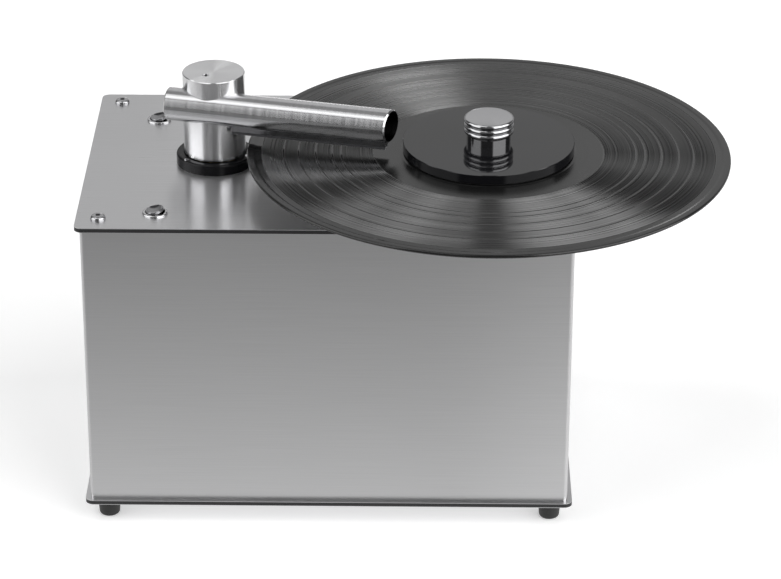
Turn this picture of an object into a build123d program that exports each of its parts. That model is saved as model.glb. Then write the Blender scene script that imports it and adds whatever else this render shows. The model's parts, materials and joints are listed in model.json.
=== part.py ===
from build123d import *
from math import atan, cos, degrees, radians, sin, tan
import os

# Record cleaning machine: a sheet-metal case between two sandwich panels, a driven spindle that
# carries the record under a screwed clamp, and a swinging suction arm over a waste tank.
# Millimetres. +Z up, the table at z = 0, +X to the right, the front of the machine towards -Y.
# The origin is the middle of the whole footprint, which the overhanging record sets.

# ---------------------------------------------------------------- panels and case
plate_width = 309.0
plate_depth = 208.0
plate_corner_radius = 5.0
panel_thickness = 3.0
skin_thickness = 0.3
wall_height = 188.0
sheet = 1.5
case_inset = 3.2
case_bend_radius = 2.5
return_width = 16.0
rear_panel_margin = 1.0
foot_height = 13.5
foot_top_radius = 7.4
foot_bottom_radius = 6.4
foot_edge_fillet = 2.2
foot_screw_floor = 4.0
pillar_inset = 14.0
pillar_radius = 6.0
pillar_tapping_depth = 18.0

# ---------------------------------------------------------------- fits
screw_clearance = 0.05
hole_clearance = 0.2
running_clearance = 0.05
seat_clearance = 0.05
free_gap = 0.3

# ---------------------------------------------------------------- screws
m5_radius = 2.5
m5_head_radius = 4.75
m5_head_height = 2.7
m5_socket = 1.7
m5_length = 14.0
m4_radius = 2.0
m4_head_radius = 3.5
m4_head_height = 2.2
m4_socket = 1.25
m4_length = 12.0
m3_radius = 1.5
m3_head_radius = 2.75
m3_head_height = 1.6
m3_socket = 1.1
m2_radius = 1.0
m2_head_radius = 1.6
m2_head_height = 1.4
m2_socket = 0.7
socket_share = 0.6
m3_length = 10.0
button_dome_share = 0.8

# ---------------------------------------------------------------- spindle, platter, record, clamp
spindle_from_right = 55.5
spindle_from_back = 137.4
spindle_radius = 4.0
record_pin_radius = 3.6
record_pin_chamfer = 0.5
collar_radius = 8.0
collar_height = 2.5
bearing_radius = 8.0
bearing_width = 5.0
bearing_boss_radius = 12.0
bearing_boss_height = 9.2
bearing_flange_radius = 23.0
bearing_flange_thickness = 3.0
bearing_screw_circle = 18.0
bearing_drop = 22.0
platter_radius = 50.0
platter_height = 7.4
platter_rim_thickness = 4.2
platter_hub_radius = 14.0
platter_rim_width = 6.0
platter_recess = 2.0
platter_edge_chamfer = 0.8
mat_thickness = 0.8
mat_margin = 1.0
record_radius = 150.8
record_thickness = 2.3
record_groove_depth = 0.3
record_bead_width = 3.0
record_land_radius = 54.5
record_step = 1.0
gasket_outer_radius = 52.0
gasket_width = 9.0
gasket_thickness = 0.8
clamp_radius = 53.5
clamp_thickness = 6.0
clamp_edge_chamfer = 0.3
knob_radius = 15.6
knob_height = 16.0
knob_bead_pitch = 3.4
knob_bead_depth = 1.5
knob_bead_count = 3
knob_waist_radius = 13.8
knob_dish_depth = 0.5
knob_rim_width = 1.2
knob_thread_depth = 11.0

# ---------------------------------------------------------------- spindle drive
motor_shaft_radius = 4.0
motor_shaft_entry = 10.0
coupling_radius = 9.0
coupling_length = 20.0
coupling_gap = 4.0
gearbox_radius = 30.0
gearbox_height = 26.0
motor_can_radius = 27.0
motor_can_height = 36.0
motor_can_fillet = 3.0
standoff_flat_radius = 4.4
standoff_tapping_depth = 14.0
standoff_stud_length = 6.0

# ---------------------------------------------------------------- suction arm
arm_from_right = 228.2
arm_from_back = 105.8
arm_angle = 13.6
flange_radius = 24.5
flange_height = 7.0
flange_fillet = 1.5
flange_cup_floor = 2.2
flange_hub_radius = 12.4
flange_hub_length = 36.0
flange_screw_circle = 22.3
flange_screw_start = -140.0
post_radius = 19.6
post_crown = 19.4
post_gap = 0.3
post_chamfer = 0.4
lift_travel = 4.3
velvet_gap = 0.3
velvet_thickness = 2.0
velvet_width = 3.0
velvet_fillet = 0.6
lip_drop = 2.2
lip_width = 9.0
lip_start = 16.2
lip_end = 115.5
slot_width = 3.0
slot_margin = 4.0
tube_radius = 10.5
tube_bore_radius = 9.0
tube_offset = 12.3
tube_tail = 26.5
tube_reach = 118.2
tube_end_wall = 2.0
tube_mitre = 12.0
tube_chamfer = 0.8
tube_port_radius = 4.0
plug_recess = 3.0
plug_length = 6.0
stem_radius = 7.5
stem_bore_radius = 4.5
stem_seat = 11.0
stem_below_hub = 12.0
sleeve_radius = 10.0
sleeve_collar_radius = 13.0
sleeve_collar_thickness = 0.6
sleeve_tail = 1.6
clip_thickness = 1.0
clip_radius = 11.6
clip_depth = 0.8
clip_gap_angle = 50.0
key_radius = 1.0
key_drop = 20.0
key_inner_reach = 5.2
key_outer_reach = 9.2
spring_bore_radius = 11.2
spring_bore_height = 12.7
spring_wire_radius = 0.7
spring_mean_radius = 9.4
spring_turns = 6
grub_radius = 2.0
grub_along = -2.9
grub_ahead = 7.1
grub_recess = 0.4
grub_socket = 1.2

# ---------------------------------------------------------------- waste path
manifold_radius = 15.5
manifold_socket_depth = 10.0
manifold_chamber_radius = 9.0
manifold_chamber_height = 18.0
manifold_floor = 4.0
seal_height = 3.0
seal_outer_radius = 10.6
seal_seat_height = 5.0
spigot_radius = 8.0
spigot_bore_radius = 6.0
spigot_length = 16.0
hose_wall = 2.0
hose_overlap = 12.0
suction_hose_reach = 46.0
suction_bend_radius = 14.0
vacuum_bend_radius = 22.0
vacuum_hose_rise = 44.0
tank_depth = 134.0
tank_height = 92.0
tank_wall = 2.5
tank_corner_radius = 14.0
tank_from_left = 20.0
tank_from_right = 169.0
tank_rear_gap = 6.0
tank_lid_thickness = 6.0
tank_lid_overhang = 2.0
tank_lip_depth = 3.0
tank_lip_wall = 2.5
vacuum_spigot_from_left = 46.0
vacuum_spigot_from_back = 48.0
drain_height = 14.0
drain_from_left = 60.0
drain_boss_radius = 8.5
drain_bore_radius = 6.0
drain_boss_reach = 9.0
drain_cap_radius = 11.0
drain_cap_length = 11.0
drain_cap_roof = 2.5
drain_cap_chamfer = 0.8

# ---------------------------------------------------------------- vacuum turbine
turbine_from_right = 104.0
turbine_from_back = 66.0
turbine_ring_radius = 40.0
turbine_ring_width = 8.0
turbine_ring_height = 6.0
turbine_motor_radius = 44.0
turbine_motor_height = 62.0
turbine_motor_fillet = 5.0
turbine_vent_count = 12
turbine_vent_width = 6.0
turbine_vent_height = 28.0
turbine_vent_depth = 4.0
turbine_housing_radius = 56.0
turbine_housing_height = 34.0
turbine_housing_wall = 2.0
turbine_housing_fillet = 4.0
exhaust_width = 26.0
exhaust_height = 20.0
impeller_radius = 50.0
impeller_height = 20.0
impeller_disc = 1.6
impeller_gap = 4.0
impeller_eye_radius = 19.0
impeller_hub_radius = 9.0
impeller_shaft_radius = 4.0
impeller_shaft_length = 22.0
blade_count = 9
blade_thickness = 1.6
blade_curve_radius = 26.0
blade_centre_radius = 24.0
blade_start_angle = 25.0
blade_sweep_angle = 108.0

# ---------------------------------------------------------------- switches
front_switch_from_left = 48.3
front_switch_from_front = 22.6
rear_switch_from_left = 40.6
rear_switch_from_back = 42.2
bezel_radius = 7.9
bezel_height = 1.4
bezel_fillet = 0.9
switch_barrel_radius = 6.9
switch_barrel_length = 20.0
switch_cup_radius = 6.3
switch_cup_depth = 5.0
switch_terminal_width = 4.8
switch_terminal_thickness = 0.8
switch_terminal_length = 8.0
switch_terminal_pitch = 4.0
switch_nut_flat = 9.5
switch_nut_height = 3.0
rocker_radius = 5.7
rocker_thickness = 1.8
rocker_tilt = 12.0
rocker_dish_radius = 11.0
rocker_dish_depth = 0.9
rocker_pivot_radius = 0.7
rocker_pivot_drop = 1.0
rocker_pivot_reach = 6.5
rocker_web_thickness = 3.0
rocker_cap_rise = 1.0
rocker_chamfer = 0.3
rocker_dish_half_width = 4.6

# ---------------------------------------------------------------- rear panel and electrics
inlet_from_right = 47.0
inlet_height = 40.0
inlet_flange_width = 50.0
inlet_flange_height = 28.0
inlet_flange_thickness = 3.0
inlet_body_width = 30.0
inlet_body_height = 22.0
inlet_body_depth = 24.0
inlet_recess_width = 24.0
inlet_recess_height = 16.0
inlet_recess_depth = 18.0
inlet_corner_radius = 3.0
inlet_pin_width = 2.0
inlet_pin_height = 5.0
inlet_pin_setback = 6.0
inlet_pin_pitch = 7.0
inlet_pin_raise = 2.0
inlet_recess_chamfer = 4.0
inlet_screw_pitch = 40.0
vent_slot_length = 30.0
vent_slot_width = 3.0
vent_pitch_x = 36.0
vent_pitch_z = 8.0
vent_columns = 3
vent_rows = 6
rear_screw_count = 3
rear_screw_pitch = 76.0
rear_screw_length = 4.0
terminal_from_right = 73.0
terminal_from_front = 32.0
terminal_length = 46.0
terminal_width = 18.0
terminal_height = 15.0
terminal_ways = 6
terminal_hole_radius = 2.0
terminal_step = 5.0
capacitor_from_right = 129.0
capacitor_from_front = 34.0
capacitor_radius = 14.0
capacitor_height = 48.0
capacitor_crimp = 1.2
capacitor_crimp_drop = 6.0

# ---------------------------------------------------------------- datums worked out from the above
plate_left = -(plate_width - spindle_from_right + record_radius) / 2
plate_front = spindle_from_back - plate_depth
plate_right = plate_left + plate_width
plate_back = plate_front + plate_depth
plate_mid_x = plate_left + plate_width / 2
plate_mid_y = plate_front + plate_depth / 2
base_bottom = foot_height
base_top = base_bottom + panel_thickness
wall_top = base_top + wall_height
plate_top = wall_top + panel_thickness
case_width = plate_width - 2 * case_inset
case_depth = plate_depth - 2 * case_inset
case_back = plate_back - case_inset
rear_face = case_back - sheet
spindle_x = plate_right - spindle_from_right
spindle_y = 0.0
arm_x = plate_right - arm_from_right
arm_y = plate_back - arm_from_back
screw_pitch_x = plate_width - 2 * pillar_inset
screw_pitch_y = plate_depth - 2 * pillar_inset

bearing_top = plate_top + bearing_boss_height
platter_bottom = bearing_top + free_gap + collar_height
platter_top = platter_bottom + platter_height
record_bottom = platter_top + mat_thickness
record_top = record_bottom + record_thickness
clamp_bottom = record_top + gasket_thickness
clamp_top = clamp_bottom + clamp_thickness
knob_top = clamp_top + knob_height
spindle_bottom = plate_top - bearing_drop - coupling_length / 2
motor_face = plate_top - bearing_drop - coupling_length - coupling_gap

flange_top = plate_top + flange_height
post_base = flange_top + post_gap
velvet_bottom = record_top + velvet_gap + lift_travel
lip_bottom = velvet_bottom + velvet_thickness
tube_z = lip_bottom + lip_drop + tube_radius
post_top = tube_z + post_crown
spring_bore_top = post_base + spring_bore_height
stem_top = spring_bore_top + stem_seat
hub_bottom = plate_top - flange_hub_length
stem_bottom = hub_bottom - stem_below_hub
saddle_radius = tube_radius + seat_clearance

tank_width = plate_width - tank_from_left - tank_from_right
tank_mid_x = plate_left + tank_from_left + tank_width / 2
tank_back = rear_face - sheet - tank_rear_gap
tank_mid_y = tank_back - tank_depth / 2
tank_top = base_top + tank_height
lid_top = tank_top + tank_lid_thickness
hose_radius = spigot_radius + seat_clearance + hose_wall
manifold_bottom = hub_bottom - seal_seat_height - manifold_chamber_height - manifold_floor
spigot_z = manifold_bottom + manifold_floor + manifold_chamber_height / 2

turbine_x = plate_right - turbine_from_right
turbine_y = plate_back - turbine_from_back
turbine_motor_bottom = base_top + turbine_ring_height
turbine_motor_top = turbine_motor_bottom + turbine_motor_height
turbine_housing_top = turbine_motor_top + turbine_housing_height
impeller_bottom = turbine_motor_top + turbine_housing_wall + impeller_gap

arm_cos = cos(radians(arm_angle))
arm_sin = sin(radians(arm_angle))
spindle_axis = Axis((spindle_x, spindle_y, 0), (0, 0, 1))


def axial_plane(x, y):
    """Upright plane through a vertical axis: local x is the radius, local y the height."""
    return Plane(origin=(x, y, 0), x_dir=(1, 0, 0), z_dir=(0, -1, 0))


def arm_point(along, ahead, height):
    """A point given along the suction tube's direction and ahead of the arm's own axis."""
    x = arm_x + along * arm_cos - ahead * arm_sin
    y = arm_y - along * arm_sin - ahead * arm_cos
    return (x, y, height)


def arm_level(height):
    """Level plane on the arm's axis, with local x along the tube and -y ahead of the post."""
    return Plane(origin=(arm_x, arm_y, height), x_dir=(arm_cos, -arm_sin, 0), z_dir=(0, 0, 1))


def across_tube(along):
    """Plane square to the suction tube, with local x ahead of the post and local y down."""
    centre = arm_point(along, tube_offset, tube_z)
    return Plane(origin=centre, x_dir=(-arm_sin, -arm_cos, 0), z_dir=(arm_cos, -arm_sin, 0))


def facing_rear(x, height, depth=rear_face):
    """Upright plane on the rear panel that looks out of the back, with local x to the left."""
    return Plane(origin=(x, depth, height), x_dir=(-1, 0, 0), z_dir=(0, 1, 0))


def save(part, name):
    """Label a finished piece and write it to its own STEP file."""
    part.label = name
    export_step(part, f"parts/{name}.step")


os.makedirs("parts", exist_ok=True)

# ================================================================ panels
corner_points = [
    (plate_mid_x + sx * screw_pitch_x / 2, plate_mid_y + sy * screw_pitch_y / 2)
    for sx in (-1, 1)
    for sy in (-1, 1)
]
flange_angles = [radians(flange_screw_start + 120 * i) for i in range(3)]
flange_points = [
    (arm_x + flange_screw_circle * cos(a), arm_y + flange_screw_circle * sin(a)) for a in flange_angles
]
bearing_angles = [radians(90 + 120 * i) for i in range(3)]
bearing_points = [
    (spindle_x + bearing_screw_circle * cos(a), spindle_y + bearing_screw_circle * sin(a))
    for a in bearing_angles
]
switch_points = [
    (plate_left + front_switch_from_left, plate_front + front_switch_from_front),
    (plate_left + rear_switch_from_left, plate_back - rear_switch_from_back),
]


def top_panel_outline(level):
    """Sketch of the top panel with every hole that goes through it."""
    with BuildSketch(Plane.XY.offset(level)) as outline:
        with Locations((plate_mid_x, plate_mid_y)):
            RectangleRounded(plate_width, plate_depth, plate_corner_radius)
        with Locations(*corner_points):
            Circle(m5_radius + hole_clearance, mode=Mode.SUBTRACT)
        with Locations((arm_x, arm_y)):
            Circle(flange_hub_radius + hole_clearance, mode=Mode.SUBTRACT)
        with Locations(*flange_points):
            Circle(m2_radius + screw_clearance, mode=Mode.SUBTRACT)
        with Locations((spindle_x, spindle_y)):
            Circle(bearing_boss_radius + hole_clearance, mode=Mode.SUBTRACT)
        with Locations(*bearing_points):
            Circle(m3_radius + hole_clearance, mode=Mode.SUBTRACT)
        with Locations(*switch_points):
            Circle(switch_barrel_radius + hole_clearance, mode=Mode.SUBTRACT)
    return outline.sketch


def base_panel_outline(level):
    """Sketch of the base panel with the four holes of the foot screws."""
    with BuildSketch(Plane.XY.offset(level)) as outline:
        with Locations((plate_mid_x, plate_mid_y)):
            RectangleRounded(plate_width, plate_depth, plate_corner_radius)
        with Locations(*corner_points):
            Circle(m4_radius + hole_clearance, mode=Mode.SUBTRACT)
    return outline.sketch


core_thickness = panel_thickness - 2 * skin_thickness

with BuildPart() as top_plate_core:
    add(top_panel_outline(wall_top + skin_thickness))
    extrude(amount=core_thickness)
save(top_plate_core.part, "top_plate_core")

with BuildPart() as top_plate_skins:
    add(top_panel_outline(wall_top))
    add(top_panel_outline(plate_top - skin_thickness))
    extrude(amount=skin_thickness)
save(top_plate_skins.part, "top_plate_skins")

with BuildPart() as base_plate_core:
    add(base_panel_outline(base_bottom + skin_thickness))
    extrude(amount=core_thickness)
save(base_plate_core.part, "base_plate_core")

with BuildPart() as base_plate_skins:
    add(base_panel_outline(base_bottom))
    add(base_panel_outline(base_top - skin_thickness))
    extrude(amount=skin_thickness)
save(base_plate_skins.part, "base_plate_skins")

# ================================================================ case
case_mid = (plate_mid_x, plate_mid_y)

with BuildPart() as case_wrap:
    with BuildSketch(Plane.XY.offset(base_top)):
        with Locations(case_mid):
            RectangleRounded(case_width, case_depth, case_bend_radius)
            RectangleRounded(
                case_width - 2 * sheet, case_depth - 2 * sheet, case_bend_radius - sheet,
                mode=Mode.SUBTRACT,
            )
        with Locations((plate_mid_x, case_back)):
            Rectangle(case_width - 2 * return_width, 4 * sheet, mode=Mode.SUBTRACT)
    extrude(amount=wall_height)
    with BuildSketch(facing_rear(plate_mid_x, base_top + wall_height / 2, case_back)):
        with GridLocations(case_width - return_width, rear_screw_pitch, 2, rear_screw_count):
            Circle(m3_radius + hole_clearance)
    extrude(amount=-sheet, mode=Mode.SUBTRACT)
save(case_wrap.part, "case_wrap")

inlet_x = plate_right - inlet_from_right
inlet_z = base_top + inlet_height
drain_x = plate_left + drain_from_left
drain_z = base_top + drain_height
vent_z = turbine_motor_top + turbine_housing_height / 2

with BuildPart() as rear_panel:
    with BuildSketch(facing_rear(plate_mid_x, base_top + wall_height / 2)):
        Rectangle(case_width - 2 * sheet - 2 * rear_panel_margin, wall_height)
        with GridLocations(case_width - return_width, rear_screw_pitch, 2, rear_screw_count):
            Circle(m3_radius + screw_clearance, mode=Mode.SUBTRACT)
    extrude(amount=-sheet)
    with BuildSketch(facing_rear(inlet_x, inlet_z)):
        RectangleRounded(
            inlet_body_width + 2 * hole_clearance, inlet_body_height + 2 * hole_clearance,
            inlet_corner_radius,
        )
        with GridLocations(inlet_screw_pitch, 1, 2, 1):
            Circle(m3_radius + screw_clearance)
    extrude(amount=-sheet, mode=Mode.SUBTRACT)
    with BuildSketch(facing_rear(turbine_x, vent_z)):
        with GridLocations(vent_pitch_x, vent_pitch_z, vent_columns, vent_rows):
            SlotOverall(vent_slot_length, vent_slot_width)
    extrude(amount=-sheet, mode=Mode.SUBTRACT)
    with BuildSketch(facing_rear(drain_x, drain_z)):
        Circle(drain_boss_radius + hole_clearance)
    extrude(amount=-sheet, mode=Mode.SUBTRACT)
save(rear_panel.part, "rear_panel")

with BuildPart() as rear_panel_screws:
    with BuildSketch(facing_rear(plate_mid_x, base_top + wall_height / 2, case_back)):
        with GridLocations(case_width - return_width, rear_screw_pitch, 2, rear_screw_count):
            Circle(m3_head_radius)
    extrude(amount=m3_head_height)
    fillet(rear_panel_screws.faces().sort_by(Axis.Y)[-2 * rear_screw_count:].edges(), m3_head_height / 2)
    with BuildSketch(facing_rear(plate_mid_x, base_top + wall_height / 2, case_back)):
        with GridLocations(case_width - return_width, rear_screw_pitch, 2, rear_screw_count):
            Circle(m3_radius)
    extrude(amount=-rear_screw_length)
    socket_face = facing_rear(plate_mid_x, base_top + wall_height / 2, case_back + m3_head_height)
    with BuildSketch(socket_face):
        with GridLocations(case_width - return_width, rear_screw_pitch, 2, rear_screw_count):
            RegularPolygon(m3_socket, 6)
    extrude(amount=-m3_head_height * socket_share, mode=Mode.SUBTRACT)
save(rear_panel_screws.part, "rear_panel_screws")

with BuildPart() as corner_pillars:
    with BuildSketch(Plane.XY.offset(base_top)):
        with Locations(*corner_points):
            Circle(pillar_radius)
    extrude(amount=wall_height)
    with BuildSketch(Plane.XY.offset(base_top)):
        with Locations(*corner_points):
            Circle(m4_radius + screw_clearance)
    extrude(amount=pillar_tapping_depth, mode=Mode.SUBTRACT)
    with BuildSketch(Plane.XY.offset(wall_top)):
        with Locations(*corner_points):
            Circle(m5_radius + screw_clearance)
    extrude(amount=-pillar_tapping_depth, mode=Mode.SUBTRACT)
save(corner_pillars.part, "corner_pillars")

with BuildPart() as top_screws:
    with BuildSketch(Plane.XY.offset(plate_top)):
        with Locations(*corner_points):
            Circle(m5_head_radius)
    extrude(amount=m5_head_height)
    fillet(top_screws.faces().group_by(Axis.Z)[-1].edges(), m5_head_height * button_dome_share)
    with BuildSketch(Plane.XY.offset(plate_top)):
        with Locations(*corner_points):
            Circle(m5_radius)
    extrude(amount=-panel_thickness - m5_length)
    with BuildSketch(Plane.XY.offset(plate_top + m5_head_height)):
        with Locations(*corner_points):
            RegularPolygon(m5_socket, 6)
    extrude(amount=-m5_head_height * socket_share, mode=Mode.SUBTRACT)
save(top_screws.part, "top_screws")

# ================================================================ feet
foot_taper = degrees(atan((foot_top_radius - foot_bottom_radius) / foot_height))
foot_screw_seat = base_bottom - foot_screw_floor

with BuildPart() as feet:
    with BuildSketch(Plane.XY):
        with Locations(*corner_points):
            Circle(foot_bottom_radius)
    extrude(amount=foot_height, taper=-foot_taper)
    fillet(feet.edges().group_by(Axis.Z)[0], foot_edge_fillet)
    with BuildSketch(Plane.XY):
        with Locations(*corner_points):
            Circle(m4_head_radius + hole_clearance)
    extrude(amount=foot_screw_seat, mode=Mode.SUBTRACT)
    with BuildSketch(Plane.XY.offset(foot_screw_seat)):
        with Locations(*corner_points):
            Circle(m4_radius + hole_clearance)
    extrude(amount=foot_screw_floor, mode=Mode.SUBTRACT)
save(feet.part, "feet")

with BuildPart() as foot_screws:
    with BuildSketch(Plane.XY.offset(foot_screw_seat)):
        with Locations(*corner_points):
            Circle(m4_head_radius)
    extrude(amount=-m4_head_height)
    fillet(foot_screws.faces().group_by(Axis.Z)[0].edges(), m4_head_height / 2)
    with BuildSketch(Plane.XY.offset(foot_screw_seat)):
        with Locations(*corner_points):
            Circle(m4_radius)
    extrude(amount=foot_screw_floor + panel_thickness + m4_length)
    with BuildSketch(Plane.XY.offset(foot_screw_seat - m4_head_height)):
        with Locations(*corner_points):
            RegularPolygon(m4_socket, 6)
    extrude(amount=m4_head_height * socket_share, mode=Mode.SUBTRACT)
save(foot_screws.part, "foot_screws")

# ================================================================ spindle and its drive
with BuildPart() as bearing_housing:
    with BuildSketch(axial_plane(spindle_x, spindle_y)):
        with BuildLine():
            Polyline(
                (spindle_radius + hole_clearance, plate_top - bearing_drop),
                (bearing_boss_radius, plate_top - bearing_drop),
                (bearing_boss_radius, plate_top),
                (bearing_flange_radius, plate_top),
                (bearing_flange_radius, plate_top + bearing_flange_thickness),
                (bearing_boss_radius, plate_top + bearing_flange_thickness),
                (bearing_boss_radius, bearing_top),
                (spindle_radius + hole_clearance, bearing_top),
                close=True,
            )
        make_face()
    revolve(axis=spindle_axis)
    for seat_plane, depth in (
        (Plane.XY.offset(bearing_top), -bearing_width),
        (Plane.XY.offset(plate_top - bearing_drop), bearing_width),
    ):
        with BuildSketch(seat_plane):
            with Locations((spindle_x, spindle_y)):
                Circle(bearing_radius)
        extrude(amount=depth, mode=Mode.SUBTRACT)
    with BuildSketch(Plane.XY.offset(plate_top)):
        with Locations(*bearing_points):
            Circle(m3_radius + hole_clearance)
    extrude(amount=bearing_flange_thickness, mode=Mode.SUBTRACT)
save(bearing_housing.part, "bearing_housing")

with BuildPart() as spindle_bearings:
    for level in (bearing_top - bearing_width, plate_top - bearing_drop):
        with BuildSketch(Plane.XY.offset(level)):
            with Locations((spindle_x, spindle_y)):
                Circle(bearing_radius)
                Circle(spindle_radius + running_clearance, mode=Mode.SUBTRACT)
        extrude(amount=bearing_width)
save(spindle_bearings.part, "spindle_bearings")

with BuildPart() as bearing_screws:
    flange_face = plate_top + bearing_flange_thickness
    with BuildSketch(Plane.XY.offset(flange_face)):
        with Locations(*bearing_points):
            Circle(m3_head_radius)
    extrude(amount=m3_head_height)
    fillet(bearing_screws.faces().group_by(Axis.Z)[-1].edges(), m3_head_height / 2)
    with BuildSketch(Plane.XY.offset(flange_face)):
        with Locations(*bearing_points):
            Circle(m3_radius)
    extrude(amount=-bearing_flange_thickness - panel_thickness - m3_length)
    with BuildSketch(Plane.XY.offset(flange_face + m3_head_height)):
        with Locations(*bearing_points):
            RegularPolygon(m3_socket, 6)
    extrude(amount=-m3_head_height * socket_share, mode=Mode.SUBTRACT)
save(bearing_screws.part, "bearing_screws")

with BuildPart() as motor_standoffs:
    with BuildSketch(Plane.XY.offset(motor_face)):
        with Locations(*bearing_points):
            RegularPolygon(standoff_flat_radius, 6)
    extrude(amount=wall_top - motor_face)
    with BuildSketch(Plane.XY.offset(motor_face)):
        with Locations(*bearing_points):
            Circle(m3_radius)
    extrude(amount=-standoff_stud_length)
    with BuildSketch(Plane.XY.offset(wall_top)):
        with Locations(*bearing_points):
            Circle(m3_radius + screw_clearance)
    extrude(amount=-standoff_tapping_depth, mode=Mode.SUBTRACT)
save(motor_standoffs.part, "motor_standoffs")

gearbox_bottom = motor_face - gearbox_height

with BuildPart() as gear_motor:
    with BuildSketch(Plane.XY.offset(motor_face)):
        with Locations((spindle_x, spindle_y)):
            Circle(gearbox_radius)
    extrude(amount=-gearbox_height)
    with BuildSketch(Plane.XY.offset(gearbox_bottom)):
        with Locations((spindle_x, spindle_y)):
            Circle(motor_can_radius)
    extrude(amount=-motor_can_height)
    fillet(gear_motor.edges().group_by(Axis.Z)[0], motor_can_fillet)
    with BuildSketch(Plane.XY.offset(motor_face)):
        with Locations((spindle_x, spindle_y)):
            Circle(motor_shaft_radius + running_clearance)
        with Locations(*bearing_points):
            Circle(m3_radius + screw_clearance)
    extrude(amount=-motor_shaft_entry, mode=Mode.SUBTRACT)
save(gear_motor.part, "gear_motor")

coupling_bottom = motor_face + coupling_gap

with BuildPart() as shaft_coupling:
    with BuildSketch(Plane.XY.offset(coupling_bottom)):
        with Locations((spindle_x, spindle_y)):
            Circle(coupling_radius)
            Circle(motor_shaft_radius + seat_clearance, mode=Mode.SUBTRACT)
    extrude(amount=coupling_length / 2)
    with BuildSketch(Plane.XY.offset(coupling_bottom + coupling_length / 2)):
        with Locations((spindle_x, spindle_y)):
            Circle(coupling_radius)
            Circle(spindle_radius + seat_clearance, mode=Mode.SUBTRACT)
    extrude(amount=coupling_length / 2 - free_gap)
save(shaft_coupling.part, "shaft_coupling")

with BuildPart() as motor_shaft:
    with BuildSketch(Plane.XY.offset(motor_face - motor_shaft_entry + free_gap)):
        with Locations((spindle_x, spindle_y)):
            Circle(motor_shaft_radius)
    extrude(amount=motor_shaft_entry + coupling_gap + coupling_length / 2 - 2 * free_gap)
save(motor_shaft.part, "motor_shaft")

collar_bottom = bearing_top + free_gap
pin_top = clamp_top + knob_thread_depth

with BuildPart() as spindle:
    with BuildSketch(axial_plane(spindle_x, spindle_y)):
        with BuildLine():
            Polyline(
                (0, spindle_bottom),
                (spindle_radius, spindle_bottom),
                (spindle_radius, collar_bottom),
                (collar_radius, collar_bottom),
                (collar_radius, platter_bottom),
                (spindle_radius, platter_bottom),
                (spindle_radius, platter_top),
                (record_pin_radius, platter_top),
                (record_pin_radius, pin_top),
                (0, pin_top),
                close=True,
            )
        make_face()
    revolve(axis=spindle_axis)
    chamfer(spindle.edges().group_by(Axis.Z)[-1], record_pin_chamfer)
save(spindle.part, "spindle")

# ================================================================ platter, record and clamp
platter_web_bottom = platter_top - platter_rim_thickness

with BuildPart() as platter:
    with BuildSketch(axial_plane(spindle_x, spindle_y)):
        with BuildLine():
            Polyline(
                (spindle_radius + seat_clearance, platter_bottom),
                (platter_hub_radius, platter_bottom),
                (platter_hub_radius, platter_web_bottom + platter_recess),
                (platter_radius - platter_rim_width, platter_web_bottom + platter_recess),
                (platter_radius - platter_rim_width, platter_web_bottom),
                (platter_radius - platter_edge_chamfer, platter_web_bottom),
                (platter_radius, platter_web_bottom + platter_edge_chamfer),
                (platter_radius, platter_top),
                (spindle_radius + seat_clearance, platter_top),
                close=True,
            )
        make_face()
    revolve(axis=spindle_axis)
save(platter.part, "platter")

with BuildPart() as platter_mat:
    with BuildSketch(Plane.XY.offset(platter_top)):
        with Locations((spindle_x, spindle_y)):
            Circle(platter_radius - mat_margin)
            Circle(spindle_radius + hole_clearance, mode=Mode.SUBTRACT)
    extrude(amount=mat_thickness)
save(platter_mat.part, "platter_mat")

bead_start = record_radius - record_bead_width
bead_radius = record_thickness / 2
groove_start = record_land_radius + record_step
record_mid = (record_bottom + record_top) / 2

with BuildPart() as record:
    with BuildSketch(axial_plane(spindle_x, spindle_y)):
        with BuildLine():
            Polyline(
                (bead_start + record_step, record_bottom),
                (bead_start, record_bottom + record_groove_depth),
                (groove_start, record_bottom + record_groove_depth),
                (record_land_radius, record_bottom),
                (record_pin_radius + screw_clearance, record_bottom),
                (record_pin_radius + screw_clearance, record_top),
                (record_land_radius, record_top),
                (groove_start, record_top - record_groove_depth),
                (bead_start, record_top - record_groove_depth),
                (bead_start + record_step, record_top),
                (record_radius - bead_radius, record_top),
            )
            ThreePointArc(
                (record_radius - bead_radius, record_top),
                (record_radius, record_mid),
                (record_radius - bead_radius, record_bottom),
            )
            Line((record_radius - bead_radius, record_bottom), (bead_start + record_step, record_bottom))
        make_face()
    revolve(axis=spindle_axis)
save(record.part, "record")

with BuildPart() as clamp_gasket:
    with BuildSketch(Plane.XY.offset(record_top)):
        with Locations((spindle_x, spindle_y)):
            Circle(gasket_outer_radius)
            Circle(gasket_outer_radius - gasket_width, mode=Mode.SUBTRACT)
    extrude(amount=gasket_thickness)
save(clamp_gasket.part, "clamp_gasket")

with BuildPart() as clamp_disc:
    with BuildSketch(Plane.XY.offset(clamp_bottom)):
        with Locations((spindle_x, spindle_y)):
            Circle(clamp_radius)
            Circle(record_pin_radius + hole_clearance, mode=Mode.SUBTRACT)
    extrude(amount=clamp_thickness)
    rims = clamp_disc.edges().filter_by(GeomType.CIRCLE).sort_by(SortBy.RADIUS)[-2:]
    chamfer(rims, clamp_edge_chamfer)
save(clamp_disc.part, "clamp_disc")

bead_valley = knob_radius - knob_bead_depth
waist_top = knob_top - knob_bead_count * knob_bead_pitch
dish_edge = knob_radius - knob_bead_depth / 2 - knob_rim_width

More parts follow.
